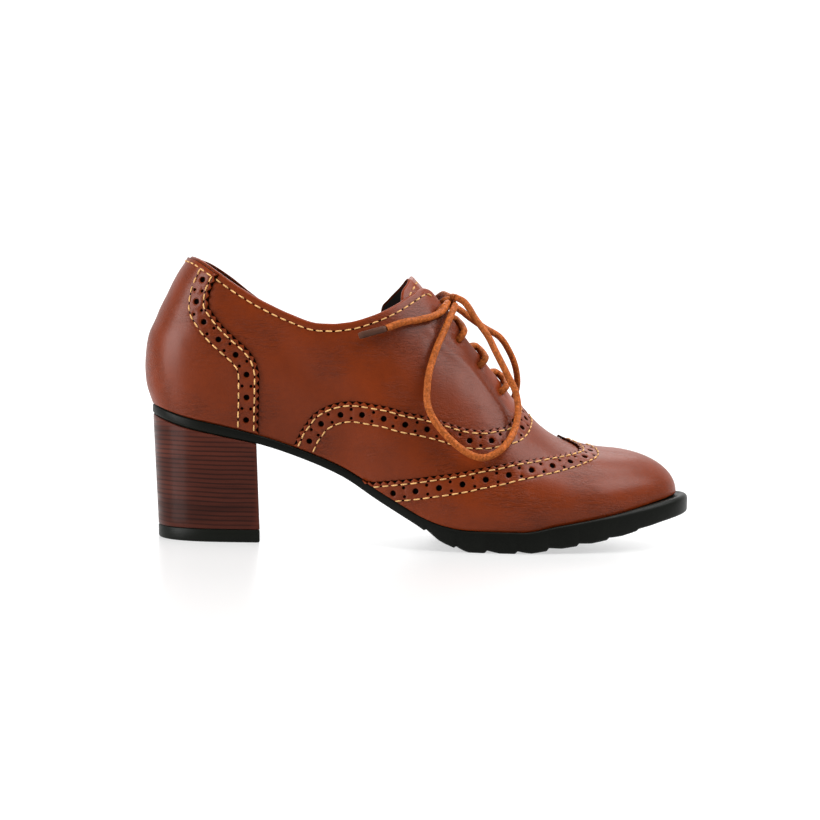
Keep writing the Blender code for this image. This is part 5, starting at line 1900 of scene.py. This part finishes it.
def make_floor():
    """A pale sweep: a floor that curves up behind the shoe."""
    profile = [(-3.0, 0.0), (1.2, 0.0)]
    turn = np.linspace(0.05, math.pi / 2, 20)
    profile += [(1.2 + 1.0 * math.sin(t), 1.0 - 1.0 * math.cos(t)) for t in turn]
    profile.append((2.2, 4.0))
    points = [(x, y, z) for y, z in profile for x in (-4.0, 4.0)]
    faces = [(2 * i, 2 * i + 1, 2 * i + 3, 2 * i + 2) for i in range(len(profile) - 1)]
    mesh = mesh_of("studio_floor", points, faces)
    floor = bpy.data.objects.new("studio_floor", smooth(mesh))
    bpy.context.scene.collection.objects.link(floor)
    mesh.materials.append(finish("pale floor", floor_paint, colors().floor, glow=FLOOR_GLOW))
    mesh.materials.append(finish("pale wall", floor_paint, colors().floor, glow=WALL_GLOW))
    mesh.polygons.foreach_set("material_index", [0] + [1] * (len(faces) - 1))


def make_lights():
    """Four soft lights round the shoe, and a weak light from everywhere."""
    for light in LIGHTS:
        lamp = bpy.data.lights.new(light.name, "AREA")
        lamp.shape = "RECTANGLE"
        lamp.size = light.width
        lamp.size_y = light.height
        lamp.energy = light.power
        item = bpy.data.objects.new(light.name, lamp)
        item.location = light.place
        aim = Vector(light.aim) - Vector(light.place)
        item.rotation_euler = aim.to_track_quat("-Z", "Y").to_euler()
        bpy.context.scene.collection.objects.link(item)
    world = bpy.data.worlds.new("studio air")
    world.use_nodes = True
    background = world.node_tree.nodes["Background"]
    background.inputs["Color"].default_value = WHITE
    background.inputs["Strength"].default_value = WORLD_LIGHT
    bpy.context.scene.world = world
    bpy.context.scene.view_settings.view_transform = "Standard"


def make_camera():
    """The camera of the photograph: low, level with the shoe, and a little rolled."""
    lens = bpy.data.cameras.new("camera")
    lens.sensor_width = SENSOR
    lens.lens = CAMERA_FOCUS / FRAME_SIZE * SENSOR
    lens.clip_start = 0.01
    camera = bpy.data.objects.new("camera", lens)
    forward = Vector((0, math.cos(CAMERA_PITCH), -math.sin(CAMERA_PITCH)))
    right = Vector((1, 0, 0))
    up = right.cross(forward)
    across = right * math.cos(CAMERA_ROLL) + up * math.sin(CAMERA_ROLL)
    upward = up * math.cos(CAMERA_ROLL) - right * math.sin(CAMERA_ROLL)
    turn = Matrix((across, upward, -forward)).transposed().to_4x4()
    camera.matrix_world = Matrix.Translation(CAMERA_PLACE) @ turn
    bpy.context.scene.collection.objects.link(camera)
    bpy.context.scene.camera = camera


STEPS = (SHOE_OT_finishes, SHOE_OT_stage, SHOE_OT_laces, SHOE_OT_upper, SHOE_OT_seams, SHOE_OT_sole)


class SHOE_PT_panel(bpy.types.Panel):
    """Sizes, colours and steps of the shoe"""

    bl_idname = "SHOE_PT_panel"
    bl_label = "Heeled oxford"
    bl_space_type = "VIEW_3D"
    bl_region_type = "UI"
    bl_category = "Shoe"

    def draw(self, context):
        for settings in (context.scene.shoe_sizes, context.scene.shoe_colors):
            box = self.layout.box()
            for name in settings.__annotations__:
                box.prop(settings, name)
        for step in STEPS:
            self.layout.operator(step.bl_idname)


CLASSES = (ShoeSizes, ShoeColors, *STEPS, SHOE_PT_panel)


def register():
    """Adds the add-on's settings, steps and panel."""
    for kind in CLASSES:
        bpy.utils.register_class(kind)
    bpy.types.Scene.shoe_sizes = PointerProperty(type=ShoeSizes)
    bpy.types.Scene.shoe_colors = PointerProperty(type=ShoeColors)


def unregister():
    """Takes them out again."""
    del bpy.types.Scene.shoe_sizes
    del bpy.types.Scene.shoe_colors
    for kind in reversed(CLASSES):
        bpy.utils.unregister_class(kind)


def main():
    """Registers the add-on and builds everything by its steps."""
    register()
    bpy.ops.shoe.finishes()
    bpy.ops.shoe.stage()
    bpy.ops.shoe.laces()
    bpy.ops.shoe.upper()
    bpy.ops.shoe.seams()
    bpy.ops.shoe.sole()


if __name__ == "__main__":
    main()
